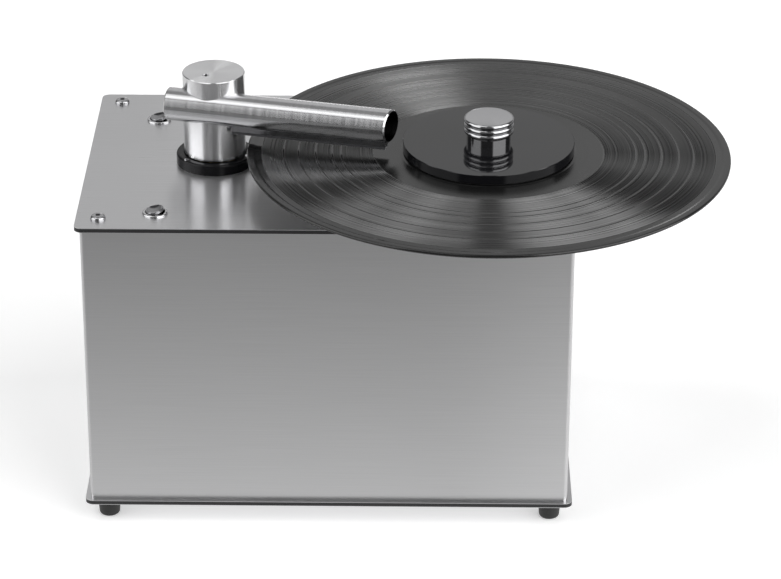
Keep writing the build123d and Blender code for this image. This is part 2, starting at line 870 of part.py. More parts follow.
with BuildPart() as clamp_knob:
    with BuildSketch(axial_plane(spindle_x, spindle_y)):
        with BuildLine():
            Polyline(
                (bead_valley, waist_top),
                (knob_waist_radius, waist_top - knob_bead_depth / 2),
                (knob_waist_radius, clamp_top),
                (record_pin_radius + screw_clearance, clamp_top),
                (record_pin_radius + screw_clearance, pin_top + free_gap),
                (0, pin_top + free_gap),
                (0, knob_top - knob_dish_depth),
            )
            ThreePointArc(
                (0, knob_top - knob_dish_depth),
                (dish_edge / 2, knob_top - knob_dish_depth * 3 / 4),
                (dish_edge, knob_top),
            )
            Line((dish_edge, knob_top), (bead_valley, knob_top))
            for i in range(knob_bead_count):
                bead_high = knob_top - i * knob_bead_pitch
                ThreePointArc(
                    (bead_valley, bead_high),
                    (knob_radius, bead_high - knob_bead_pitch / 2),
                    (bead_valley, bead_high - knob_bead_pitch),
                )
        make_face()
    revolve(axis=spindle_axis)
save(clamp_knob.part, "clamp_knob")

# ================================================================ suction arm: fixed flange
with BuildPart() as arm_flange:
    with BuildSketch(Plane.XY.offset(plate_top)):
        with Locations((arm_x, arm_y)):
            Circle(flange_radius)
    extrude(amount=flange_height)
    fillet(arm_flange.edges().group_by(Axis.Z)[-1], flange_fillet)
    with BuildSketch(Plane.XY.offset(hub_bottom)):
        with Locations((arm_x, arm_y)):
            Circle(flange_hub_radius)
    extrude(amount=flange_hub_length)
    with BuildSketch(Plane.XY.offset(plate_top + flange_cup_floor)):
        with Locations((arm_x, arm_y)):
            Circle(post_radius + hole_clearance * 2)
    extrude(amount=flange_height, mode=Mode.SUBTRACT)
    with BuildSketch(Plane.XY.offset(hub_bottom)):
        with Locations((arm_x, arm_y)):
            Circle(sleeve_radius + running_clearance)
    extrude(amount=flange_hub_length + flange_height, mode=Mode.SUBTRACT)
    with BuildSketch(Plane.XY.offset(plate_top)):
        with Locations(*flange_points):
            Circle(m2_radius + screw_clearance)
    extrude(amount=flange_height, mode=Mode.SUBTRACT)
    with BuildSketch(Plane.XY.offset(flange_top)):
        with Locations(*flange_points):
            Circle(m2_head_radius + screw_clearance)
    extrude(amount=-m2_head_height, mode=Mode.SUBTRACT)
save(arm_flange.part, "arm_flange")

with BuildPart() as flange_screws:
    with BuildSketch(Plane.XY.offset(flange_top)):
        with Locations(*flange_points):
            Circle(m2_head_radius)
            RegularPolygon(m2_socket, 6, mode=Mode.SUBTRACT)
    extrude(amount=-m2_head_height * socket_share)
    with BuildSketch(Plane.XY.offset(flange_top - m2_head_height)):
        with Locations(*flange_points):
            Circle(m2_head_radius)
    extrude(amount=m2_head_height * (1 - socket_share))
    with BuildSketch(Plane.XY.offset(flange_top - m2_head_height)):
        with Locations(*flange_points):
            Circle(m2_radius)
    extrude(amount=-flange_height - panel_thickness)
save(flange_screws.part, "flange_screws")

# ================================================================ suction arm: turning sleeve
sleeve_collar_bottom = plate_top + flange_cup_floor + seat_clearance
sleeve_top = sleeve_collar_bottom + sleeve_collar_thickness
sleeve_bottom = hub_bottom - sleeve_tail
clip_top = hub_bottom - seat_clearance
key_z = plate_top - key_drop

with BuildPart() as arm_sleeve:
    with BuildSketch(Plane.XY.offset(sleeve_bottom)):
        with Locations((arm_x, arm_y)):
            Circle(sleeve_radius)
    extrude(amount=sleeve_top - sleeve_bottom)
    with BuildSketch(Plane.XY.offset(sleeve_collar_bottom)):
        with Locations((arm_x, arm_y)):
            Circle(sleeve_collar_radius)
    extrude(amount=sleeve_collar_thickness)
    with BuildSketch(Plane.XY.offset(sleeve_bottom)):
        with Locations((arm_x, arm_y)):
            Circle(stem_radius + running_clearance)
    extrude(amount=sleeve_top - sleeve_bottom, mode=Mode.SUBTRACT)
    with BuildSketch(Plane.XY.offset(clip_top - clip_thickness)):
        with Locations((arm_x, arm_y)):
            Circle(sleeve_radius + clip_depth)
            Circle(sleeve_radius - clip_depth, mode=Mode.SUBTRACT)
    extrude(amount=clip_thickness, mode=Mode.SUBTRACT)
    with BuildSketch(arm_level(key_z - lift_travel - 2 * key_radius)):
        Rectangle(2 * sleeve_radius + key_radius, 2 * key_radius + 2 * screw_clearance)
    extrude(amount=lift_travel + 4 * key_radius, mode=Mode.SUBTRACT)
save(arm_sleeve.part, "arm_sleeve")

with BuildPart() as sleeve_clip:
    with BuildSketch(arm_level(clip_top - clip_thickness + seat_clearance)):
        Circle(clip_radius)
        Circle(sleeve_radius - clip_depth + seat_clearance, mode=Mode.SUBTRACT)
        gap_width = 2 * clip_radius * tan(radians(clip_gap_angle / 2))
        with Locations((clip_radius, 0)):
            Rectangle(clip_radius * 2, gap_width, mode=Mode.SUBTRACT)
    extrude(amount=clip_thickness - 2 * seat_clearance)
save(sleeve_clip.part, "sleeve_clip")

spring_start = sleeve_top + spring_wire_radius + seat_clearance
spring_height = spring_bore_top - sleeve_top - 2 * spring_wire_radius - 2 * seat_clearance

with BuildPart() as lift_spring:
    with BuildLine() as coil:
        Helix(
            spring_height / spring_turns, spring_height, spring_mean_radius,
            center=(arm_x, arm_y, spring_start),
        )
    with BuildSketch(Plane(origin=coil.line @ 0, z_dir=coil.line % 0)):
        Circle(spring_wire_radius)
    sweep(path=coil.line, is_frenet=True)
save(lift_spring.part, "lift_spring")

# ================================================================ suction arm: lifting post
def key_plane(along, side):
    """Plane square to the two keys, which lie in line with the tube on either side of the stem."""
    centre = arm_point(along, 0, key_z)
    return Plane(origin=centre, x_dir=(-arm_sin, -arm_cos, 0), z_dir=(side * arm_cos, -side * arm_sin, 0))


with BuildPart() as arm_stem:
    with BuildSketch(Plane.XY.offset(stem_bottom)):
        with Locations((arm_x, arm_y)):
            Circle(stem_radius)
            Circle(stem_bore_radius, mode=Mode.SUBTRACT)
    extrude(amount=stem_top - stem_bottom)
    with BuildSketch(key_plane(0, 1)):
        Circle(key_radius + screw_clearance)
    extrude(amount=sleeve_radius, both=True, mode=Mode.SUBTRACT)
save(arm_stem.part, "arm_stem")

with BuildPart() as stem_keys:
    for side in (-1, 1):
        with BuildSketch(key_plane(side * key_inner_reach, side)):
            Circle(key_radius)
        extrude(amount=key_outer_reach - key_inner_reach)
save(stem_keys.part, "stem_keys")

tube_length = tube_tail + tube_reach
port_z = tube_z
port_plane = Plane(origin=(arm_x, arm_y, port_z), x_dir=(arm_cos, -arm_sin, 0), z_dir=(-arm_sin, -arm_cos, 0))

with BuildPart() as arm_post:
    with BuildSketch(Plane.XY.offset(post_base)):
        with Locations((arm_x, arm_y)):
            Circle(post_radius)
    extrude(amount=post_top - post_base)
    chamfer(arm_post.edges().filter_by(GeomType.CIRCLE), post_chamfer)
    with BuildSketch(across_tube(-tube_tail)):
        Circle(saddle_radius)
    extrude(amount=tube_length, mode=Mode.SUBTRACT)
    with BuildSketch(Plane.XY.offset(post_base)):
        with Locations((arm_x, arm_y)):
            Circle(spring_bore_radius)
    extrude(amount=spring_bore_height, mode=Mode.SUBTRACT)
    with BuildSketch(Plane.XY.offset(spring_bore_top)):
        with Locations((arm_x, arm_y)):
            Circle(stem_radius + seat_clearance)
    extrude(amount=stem_seat, mode=Mode.SUBTRACT)
    with BuildSketch(Plane.XY.offset(stem_top)):
        with Locations((arm_x, arm_y)):
            Circle(stem_bore_radius)
    extrude(amount=port_z - stem_top, mode=Mode.SUBTRACT)
    with BuildSketch(port_plane):
        Circle(tube_port_radius)
    extrude(amount=tube_offset, mode=Mode.SUBTRACT)
    with BuildSketch(arm_level(post_top)):
        with Locations((grub_along, -grub_ahead)):
            Circle(grub_radius + screw_clearance)
    extrude(amount=-post_crown, mode=Mode.SUBTRACT)
save(arm_post.part, "arm_post")

# the grub screw stands on the tube's back, this far above its axis
grub_from_crest = tube_offset - grub_ahead - grub_radius
grub_tip = tube_z + (tube_radius**2 - grub_from_crest**2) ** 0.5 + seat_clearance
grub_top = post_top - grub_recess

with BuildPart() as tube_grub_screw:
    with BuildSketch(arm_level(grub_tip)):
        with Locations((grub_along, -grub_ahead)):
            Circle(grub_radius)
    extrude(amount=grub_top - grub_tip)
    with BuildSketch(arm_level(grub_top)):
        with Locations((grub_along, -grub_ahead)):
            RegularPolygon(grub_socket, 6)
    extrude(amount=-grub_radius, mode=Mode.SUBTRACT)
save(tube_grub_screw.part, "tube_grub_screw")

# ================================================================ suction arm: tube and lips
lip_length = lip_end - lip_start
lip_middle = (lip_start + lip_end) / 2
slot_length = lip_length - 2 * slot_margin
mouth_angle = radians(arm_angle + tube_mitre)
mouth_plane = Plane(
    origin=arm_point(tube_reach, tube_offset, tube_z),
    x_dir=(0, 0, 1),
    z_dir=(cos(mouth_angle), -sin(mouth_angle), 0),
)
mitre_overrun = 2 * tube_radius * tan(radians(tube_mitre))

with BuildPart() as suction_tube:
    with BuildSketch(across_tube(-tube_tail)):
        Circle(tube_radius)
    extrude(amount=tube_length + mitre_overrun)
    split(bisect_by=mouth_plane, keep=Keep.BOTTOM)
    outer_rims = suction_tube.edges().filter_by(lambda e: e.geom_type in (GeomType.CIRCLE, GeomType.ELLIPSE))
    chamfer(outer_rims, tube_chamfer)
    with BuildSketch(across_tube(-tube_tail + tube_end_wall)):
        Circle(tube_bore_radius)
    extrude(amount=tube_length + mitre_overrun, mode=Mode.SUBTRACT)
    with BuildSketch(arm_level(tube_z)):
        with Locations((lip_middle, -tube_offset)):
            SlotOverall(slot_length, slot_width)
    extrude(amount=-2 * tube_radius, mode=Mode.SUBTRACT)
    with BuildSketch(port_plane):
        Circle(tube_port_radius)
    extrude(amount=tube_offset, mode=Mode.SUBTRACT)
save(suction_tube.part, "suction_tube")

plug_end = tube_reach - plug_recess - mitre_overrun / 2

with BuildPart() as tube_end_plug:
    with BuildSketch(across_tube(plug_end)):
        Circle(tube_bore_radius - screw_clearance)
    extrude(amount=-plug_length)
save(tube_end_plug.part, "tube_end_plug")

with BuildPart() as lip_bar:
    with BuildSketch(arm_level(lip_bottom)):
        with Locations((lip_middle, -tube_offset)):
            Rectangle(lip_length, lip_width)
            SlotOverall(slot_length, slot_width, mode=Mode.SUBTRACT)
        Circle(post_radius + seat_clearance, mode=Mode.SUBTRACT)
    extrude(amount=lip_drop + tube_radius)
    with BuildSketch(across_tube(0)):
        Circle(tube_radius + seat_clearance)
    extrude(amount=tube_length, mode=Mode.SUBTRACT)
save(lip_bar.part, "lip_bar")

with BuildPart() as velvet_strips:
    with BuildSketch(arm_level(velvet_bottom)):
        for side in (-1, 1):
            with Locations((lip_middle, -tube_offset + side * (lip_width - velvet_width) / 2)):
                Rectangle(lip_length, velvet_width)
        Circle(post_radius + seat_clearance, mode=Mode.SUBTRACT)
    extrude(amount=velvet_thickness)
    fillet(velvet_strips.faces().group_by(Axis.Z)[0].edges(), velvet_fillet)
save(velvet_strips.part, "velvet_strips")

# ================================================================ waste path
seal_bottom = hub_bottom - seal_seat_height
manifold_top = hub_bottom + manifold_socket_depth
socket_floor = sleeve_bottom - free_gap
chamber_floor = manifold_bottom + manifold_floor
spigot_plane = Plane(origin=(arm_x, arm_y, spigot_z), z_dir=(1, 0, 0))

with BuildPart() as stem_manifold:
    with BuildSketch(Plane.XY.offset(manifold_bottom)):
        with Locations((arm_x, arm_y)):
            Circle(manifold_radius)
    extrude(amount=manifold_top - manifold_bottom)
    with BuildSketch(spigot_plane):
        Circle(spigot_radius)
    extrude(amount=manifold_radius + spigot_length)
    for radius, floor in (
        (manifold_chamber_radius, chamber_floor),
        (seal_outer_radius + seat_clearance, seal_bottom),
        (flange_hub_radius + seat_clearance, socket_floor),
    ):
        with BuildSketch(Plane.XY.offset(floor)):
            with Locations((arm_x, arm_y)):
                Circle(radius)
        extrude(amount=manifold_top - floor, mode=Mode.SUBTRACT)
    with BuildSketch(spigot_plane):
        Circle(spigot_bore_radius)
    extrude(amount=manifold_radius + spigot_length, mode=Mode.SUBTRACT)
save(stem_manifold.part, "stem_manifold")

with BuildPart() as stem_seal:
    with BuildSketch(Plane.XY.offset(seal_bottom)):
        with Locations((arm_x, arm_y)):
            Circle(seal_outer_radius)
            Circle(stem_radius + running_clearance, mode=Mode.SUBTRACT)
    extrude(amount=seal_height)
save(stem_seal.part, "stem_seal")

lid_spigots = [
    (arm_x + suction_hose_reach, arm_y),
    (plate_left + vacuum_spigot_from_left, plate_back - vacuum_spigot_from_back),
]

with BuildPart() as waste_tank:
    with BuildSketch(Plane.XY.offset(base_top)):
        with Locations((tank_mid_x, tank_mid_y)):
            RectangleRounded(tank_width, tank_depth, tank_corner_radius)
    extrude(amount=tank_height)
    with BuildSketch(facing_rear(drain_x, drain_z, tank_back - tank_corner_radius)):
        Circle(drain_boss_radius)
    extrude(amount=tank_corner_radius + rear_face - tank_back + drain_boss_reach)
    with BuildSketch(Plane.XY.offset(base_top + tank_wall)):
        with Locations((tank_mid_x, tank_mid_y)):
            RectangleRounded(
                tank_width - 2 * tank_wall, tank_depth - 2 * tank_wall, tank_corner_radius - tank_wall,
            )
    extrude(amount=tank_height, mode=Mode.SUBTRACT)
    with BuildSketch(facing_rear(drain_x, drain_z, tank_back - tank_corner_radius)):
        Circle(drain_bore_radius)
    extrude(amount=tank_corner_radius + rear_face - tank_back + drain_boss_reach, mode=Mode.SUBTRACT)
save(waste_tank.part, "waste_tank")

lip_outside = tank_wall + seat_clearance

with BuildPart() as tank_lid:
    with BuildSketch(Plane.XY.offset(tank_top)):
        with Locations((tank_mid_x, tank_mid_y)):
            RectangleRounded(
                tank_width + 2 * tank_lid_overhang, tank_depth + 2 * tank_lid_overhang,
                tank_corner_radius + tank_lid_overhang,
            )
    extrude(amount=tank_lid_thickness)
    with BuildSketch(Plane.XY.offset(tank_top)):
        with Locations((tank_mid_x, tank_mid_y)):
            RectangleRounded(
                tank_width - 2 * lip_outside, tank_depth - 2 * lip_outside,
                tank_corner_radius - lip_outside,
            )
            RectangleRounded(
                tank_width - 2 * lip_outside - 2 * tank_lip_wall,
                tank_depth - 2 * lip_outside - 2 * tank_lip_wall,
                tank_corner_radius - lip_outside - tank_lip_wall,
                mode=Mode.SUBTRACT,
            )
    extrude(amount=-tank_lip_depth)
    with BuildSketch(Plane.XY.offset(lid_top)):
        with Locations(*lid_spigots):
            Circle(spigot_radius)
    extrude(amount=spigot_length)
    with BuildSketch(Plane.XY.offset(tank_top)):
        with Locations(*lid_spigots):
            Circle(spigot_bore_radius)
    extrude(amount=tank_lid_thickness + spigot_length, mode=Mode.SUBTRACT)
save(tank_lid.part, "tank_lid")

hose_end = spigot_length - hose_overlap
inlet_point, vacuum_point = lid_spigots

with BuildPart() as suction_hose:
    with BuildLine() as suction_route:
        FilletPolyline(
            (arm_x + manifold_radius + hose_end, arm_y, spigot_z),
            (inlet_point[0], inlet_point[1], spigot_z),
            (inlet_point[0], inlet_point[1], lid_top + hose_end),
            radius=suction_bend_radius,
        )
    with BuildSketch(Plane(origin=suction_route.line @ 0, z_dir=suction_route.line % 0)):
        Circle(hose_radius)
        Circle(spigot_radius + seat_clearance, mode=Mode.SUBTRACT)
    sweep(path=suction_route.line)
save(suction_hose.part, "suction_hose")

hose_level = lid_top + vacuum_hose_rise

with BuildPart() as vacuum_hose:
    with BuildLine() as vacuum_route:
        FilletPolyline(
            (vacuum_point[0], vacuum_point[1], lid_top + hose_end),
            (vacuum_point[0], vacuum_point[1], hose_level),
            (turbine_x, turbine_y, hose_level),
            (turbine_x, turbine_y, turbine_housing_top + hose_end),
            radius=vacuum_bend_radius,
        )
    with BuildSketch(Plane(origin=vacuum_route.line @ 0, z_dir=vacuum_route.line % 0)):
        Circle(hose_radius)
        Circle(spigot_radius + seat_clearance, mode=Mode.SUBTRACT)
    sweep(path=vacuum_route.line)
save(vacuum_hose.part, "vacuum_hose")

cap_mouth = rear_face + drain_boss_reach + seat_clearance - (drain_cap_length - drain_cap_roof)

with BuildPart() as drain_cap:
    with BuildSketch(facing_rear(drain_x, drain_z, cap_mouth)):
        Circle(drain_cap_radius)
    extrude(amount=drain_cap_length)
    chamfer(drain_cap.edges().group_by(Axis.Y)[-1], drain_cap_chamfer)
    with BuildSketch(facing_rear(drain_x, drain_z, cap_mouth)):
        Circle(drain_boss_radius + running_clearance)
    extrude(amount=drain_cap_length - drain_cap_roof, mode=Mode.SUBTRACT)
save(drain_cap.part, "drain_cap")

# ================================================================ vacuum turbine
with BuildPart() as turbine_mount_ring:
    with BuildSketch(Plane.XY.offset(base_top)):
        with Locations((turbine_x, turbine_y)):
            Circle(turbine_ring_radius)
            Circle(turbine_ring_radius - turbine_ring_width, mode=Mode.SUBTRACT)
    extrude(amount=turbine_ring_height)
save(turbine_mount_ring.part, "turbine_mount_ring")

shaft_bottom = impeller_bottom - impeller_shaft_length
slot_middle = turbine_motor_bottom + turbine_motor_height / 2

with BuildPart() as turbine_motor:
    with BuildSketch(Plane.XY.offset(turbine_motor_bottom)):
        with Locations((turbine_x, turbine_y)):
            Circle(turbine_motor_radius)
    extrude(amount=turbine_motor_height)
    fillet(turbine_motor.edges().group_by(Axis.Z)[0], turbine_motor_fillet)
    with BuildSketch(Plane.XY.offset(slot_middle - turbine_vent_height / 2)):
        with Locations((turbine_x, turbine_y)):
            with PolarLocations(turbine_motor_radius, turbine_vent_count):
                Rectangle(2 * turbine_vent_depth, turbine_vent_width)
    extrude(amount=turbine_vent_height, mode=Mode.SUBTRACT)
    with BuildSketch(Plane.XY.offset(turbine_motor_top)):
        with Locations((turbine_x, turbine_y)):
            Circle(impeller_shaft_radius + running_clearance)
    extrude(amount=shaft_bottom - free_gap - turbine_motor_top, mode=Mode.SUBTRACT)
save(turbine_motor.part, "turbine_motor")

exhaust_length = rear_face - sheet - free_gap - turbine_y
exhaust_plane = Plane(origin=(turbine_x, turbine_y, vent_z), x_dir=(-1, 0, 0), z_dir=(0, 1, 0))

with BuildPart() as turbine_housing:
    with BuildSketch(Plane.XY.offset(turbine_motor_top)):
        with Locations((turbine_x, turbine_y)):
            Circle(turbine_housing_radius)
    extrude(amount=turbine_housing_height)
    fillet(turbine_housing.edges().group_by(Axis.Z)[-1], turbine_housing_fillet)
    with BuildSketch(exhaust_plane):
        Rectangle(exhaust_width, exhaust_height)
    extrude(amount=exhaust_length)
    with BuildSketch(Plane.XY.offset(turbine_housing_top)):
        with Locations((turbine_x, turbine_y)):
            Circle(spigot_radius)
    extrude(amount=spigot_length)
    with BuildSketch(Plane.XY.offset(turbine_motor_top + turbine_housing_wall)):
        with Locations((turbine_x, turbine_y)):
            Circle(turbine_housing_radius - turbine_housing_wall)
    extrude(amount=turbine_housing_height - 2 * turbine_housing_wall, mode=Mode.SUBTRACT)
    with BuildSketch(exhaust_plane):
        Rectangle(exhaust_width - 2 * turbine_housing_wall, exhaust_height - 2 * turbine_housing_wall)
    extrude(amount=exhaust_length, mode=Mode.SUBTRACT)
    with BuildSketch(Plane.XY.offset(turbine_motor_top)):
        with Locations((turbine_x, turbine_y)):
            Circle(impeller_shaft_radius + hole_clearance)
    extrude(amount=turbine_housing_wall, mode=Mode.SUBTRACT)
    with BuildSketch(Plane.XY.offset(turbine_housing_top - turbine_housing_wall)):
        with Locations((turbine_x, turbine_y)):
            Circle(spigot_bore_radius)
    extrude(amount=turbine_housing_wall + spigot_length, mode=Mode.SUBTRACT)
save(turbine_housing.part, "turbine_housing")

blade_height = impeller_height - 2 * impeller_disc

with BuildPart() as turbine_impeller:
    with BuildSketch(Plane.XY.offset(impeller_bottom)):
        with Locations((turbine_x, turbine_y)):
            Circle(impeller_radius)
    extrude(amount=impeller_disc)
    with BuildSketch(Plane.XY.offset(impeller_bottom + impeller_height - impeller_disc)):
        with Locations((turbine_x, turbine_y)):
            Circle(impeller_radius)
            Circle(impeller_eye_radius, mode=Mode.SUBTRACT)
    extrude(amount=impeller_disc)
    with BuildSketch(Plane.XY.offset(impeller_bottom + impeller_disc)):
        with Locations((turbine_x, turbine_y)):
            with PolarLocations(0, blade_count):
                blade_line = CenterArc(
                    (blade_centre_radius, 0), blade_curve_radius, blade_start_angle, blade_sweep_angle
                )
                SlotArc(blade_line, blade_thickness)
    extrude(amount=blade_height)
    with BuildSketch(Plane.XY.offset(impeller_bottom)):
        with Locations((turbine_x, turbine_y)):
            Circle(impeller_hub_radius)
    extrude(amount=blade_height)
    with BuildSketch(Plane.XY.offset(impeller_bottom)):
        with Locations((turbine_x, turbine_y)):
            Circle(impeller_shaft_radius)
    extrude(amount=-impeller_shaft_length)
save(turbine_impeller.part, "turbine_impeller")

# ================================================================ switches
bezel_top = plate_top + bezel_height
pivot_z = bezel_top - rocker_pivot_drop
cup_floor = bezel_top - switch_cup_depth
barrel_bottom = plate_top - switch_barrel_length


def switch_body(centre):
    """Body of a round rocker switch: bezel, barrel, cup with its pivot holes and two tabs."""
    with BuildPart() as body:
        with BuildSketch(Plane.XY.offset(barrel_bottom)):
            with Locations(centre):
                Circle(switch_barrel_radius)
        extrude(amount=switch_barrel_length)
        with BuildSketch(Plane.XY.offset(plate_top)):
            with Locations(centre):
                Circle(bezel_radius)
        extrude(amount=bezel_height)
        fillet(body.edges().group_by(Axis.Z)[-1], bezel_fillet)
        with BuildSketch(Plane.XY.offset(cup_floor)):
            with Locations(centre):
                Circle(switch_cup_radius)
        extrude(amount=switch_cup_depth, mode=Mode.SUBTRACT)
        with BuildSketch(Plane(origin=(*centre, pivot_z), x_dir=(1, 0, 0), z_dir=(0, -1, 0))):
            Circle(rocker_pivot_radius + running_clearance)
        extrude(amount=rocker_pivot_reach + running_clearance, both=True, mode=Mode.SUBTRACT)
        with BuildSketch(Plane.XY.offset(barrel_bottom)):
            with Locations(centre):
                with GridLocations(2 * switch_terminal_pitch, 1, 2, 1):
                    Rectangle(switch_terminal_thickness, switch_terminal_width)
        extrude(amount=-switch_terminal_length)
    return body.part


def switch_rocker(centre):
    """Round rocker with a dished face, its right side up, on a pivot that lies along Y."""
    lean = radians(rocker_tilt)
    across = (cos(lean), 0, sin(lean))
    tilted = Plane(origin=(*centre, pivot_z), x_dir=across, z_dir=(-sin(lean), 0, cos(lean)))
    with BuildPart() as rocker:
        with BuildSketch(tilted.offset(rocker_cap_rise)):
            Circle(rocker_radius)
        extrude(amount=rocker_thickness)
        chamfer(rocker.edges().sort_by(Axis(tilted.origin, tilted.z_dir))[-1:], rocker_chamfer)
        with BuildSketch(Plane(origin=tilted.origin, x_dir=tilted.x_dir, z_dir=(0, -1, 0))):
            with Locations((0, rocker_cap_rise + rocker_thickness + rocker_dish_radius - rocker_dish_depth)):
                Circle(rocker_dish_radius)
        extrude(amount=rocker_dish_half_width, both=True, mode=Mode.SUBTRACT)
        with BuildSketch(tilted.offset(-rocker_pivot_radius)):
            Rectangle(rocker_web_thickness, 2 * rocker_dish_half_width)
        extrude(amount=rocker_pivot_radius + rocker_cap_rise)
        with BuildSketch(Plane(origin=tilted.origin, x_dir=tilted.x_dir, z_dir=(0, -1, 0))):
            Circle(rocker_pivot_radius)
        extrude(amount=rocker_pivot_reach, both=True)
    return rocker.part


front_switch, rear_switch = switch_points
save(switch_body(front_switch), "motor_switch_body")
save(switch_body(rear_switch), "suction_switch_body")
save(switch_rocker(front_switch), "motor_rocker")
save(switch_rocker(rear_switch), "suction_rocker")

with BuildPart() as switch_nuts:
    with BuildSketch(Plane.XY.offset(wall_top)):
        with Locations(*switch_points):
            RegularPolygon(switch_nut_flat, 6)
            Circle(switch_barrel_radius + screw_clearance, mode=Mode.SUBTRACT)
    extrude(amount=-switch_nut_height)
save(switch_nuts.part, "switch_nuts")

# ================================================================ electrics
with BuildPart() as mains_inlet:
    with BuildSketch(facing_rear(inlet_x, inlet_z)):
        RectangleRounded(inlet_flange_width, inlet_flange_height, inlet_corner_radius)
    extrude(amount=inlet_flange_thickness)
    with BuildSketch(facing_rear(inlet_x, inlet_z)):
        RectangleRounded(inlet_body_width, inlet_body_height, inlet_corner_radius)
    extrude(amount=-inlet_body_depth)
    with BuildSketch(facing_rear(inlet_x, inlet_z, rear_face + inlet_flange_thickness)):
        with BuildLine():
            Polyline(
                (-inlet_recess_width / 2, -inlet_recess_height / 2),
                (inlet_recess_width / 2, -inlet_recess_height / 2),
                (inlet_recess_width / 2, inlet_recess_height / 2 - inlet_recess_chamfer),
                (inlet_recess_width / 2 - inlet_recess_chamfer, inlet_recess_height / 2),
                (inlet_recess_chamfer - inlet_recess_width / 2, inlet_recess_height / 2),
                (-inlet_recess_width / 2, inlet_recess_height / 2 - inlet_recess_chamfer),
                close=True,
            )
        make_face()
    extrude(amount=-inlet_recess_depth, mode=Mode.SUBTRACT)
    with BuildSketch(facing_rear(inlet_x, inlet_z, rear_face + inlet_flange_thickness - inlet_recess_depth)):
        with Locations((0, inlet_pin_raise)):
            Rectangle(inlet_pin_width, inlet_pin_height)
        with Locations((0, -inlet_pin_raise)):
            with GridLocations(2 * inlet_pin_pitch, 1, 2, 1):
                Rectangle(inlet_pin_width, inlet_pin_height)
    extrude(amount=inlet_recess_depth - inlet_pin_setback)
    with BuildSketch(facing_rear(inlet_x, inlet_z)):
        with GridLocations(inlet_screw_pitch, 1, 2, 1):
            Circle(m3_radius + screw_clearance)
    extrude(amount=inlet_flange_thickness, mode=Mode.SUBTRACT)
save(mains_inlet.part, "mains_inlet")

inlet_screw_face = facing_rear(inlet_x, inlet_z, rear_face + inlet_flange_thickness)

with BuildPart() as inlet_screws:
    with BuildSketch(inlet_screw_face):
        with GridLocations(inlet_screw_pitch, 1, 2, 1):
            Circle(m3_head_radius)
            RegularPolygon(m3_socket, 6, mode=Mode.SUBTRACT)
    extrude(amount=m3_head_height)
    with BuildSketch(inlet_screw_face):
        with GridLocations(inlet_screw_pitch, 1, 2, 1):
            Circle(m3_head_radius)
    extrude(amount=m3_head_height * (1 - socket_share))
    with BuildSketch(inlet_screw_face):
        with GridLocations(inlet_screw_pitch, 1, 2, 1):
            Circle(m3_radius)
    extrude(amount=-inlet_flange_thickness - rear_screw_length)
save(inlet_screws.part, "inlet_screws")

terminal_x = plate_right - terminal_from_right
terminal_y = plate_front + terminal_from_front

with BuildPart() as terminal_block:
    with BuildSketch(Plane.XY.offset(base_top)):
        with Locations((terminal_x, terminal_y)):
            Rectangle(terminal_length, terminal_width)
    extrude(amount=terminal_height)
    with BuildSketch(Plane.XY.offset(base_top + terminal_height - terminal_step)):
        with Locations((terminal_x, terminal_y)):
            with GridLocations(1, terminal_width, 1, 2):
                Rectangle(terminal_length, terminal_step)
    extrude(amount=terminal_step, mode=Mode.SUBTRACT)
    with BuildSketch(Plane.XY.offset(base_top + terminal_height)):
        with Locations((terminal_x, terminal_y)):
            with GridLocations(terminal_length / terminal_ways, 2 * terminal_step, terminal_ways, 2):
                Circle(terminal_hole_radius)
    extrude(amount=-terminal_step, mode=Mode.SUBTRACT)
save(terminal_block.part, "terminal_block")

capacitor_x = plate_right - capacitor_from_right
capacitor_y = plate_front + capacitor_from_front
capacitor_top = base_top + capacitor_height
crimp_z = capacitor_top - capacitor_crimp_drop

with BuildPart() as motor_capacitor:
    with BuildSketch(axial_plane(capacitor_x, capacitor_y)):
        with BuildLine():
            Polyline(
                (0, base_top),
                (capacitor_radius, base_top),
                (capacitor_radius, crimp_z - capacitor_crimp),
                (capacitor_radius - capacitor_crimp, crimp_z),
                (capacitor_radius, crimp_z + capacitor_crimp),
                (capacitor_radius, capacitor_top),
                (0, capacitor_top),
                close=True,
            )
        make_face()
    revolve(axis=Axis((capacitor_x, capacitor_y, 0), (0, 0, 1)))
save(motor_capacitor.part, "motor_capacitor")
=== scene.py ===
"""The finished look of a record cleaning machine: finishes, the pressed record, floor, light and camera.

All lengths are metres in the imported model's own frame: +X runs right along the front, +Y runs to the
back, +Z is up, and the machine stands on z = 0. Angles are degrees until a function turns them round.
"""

import json
from math import cos, radians, sin

import bpy
import numpy as np
from mathutils import Matrix, Vector

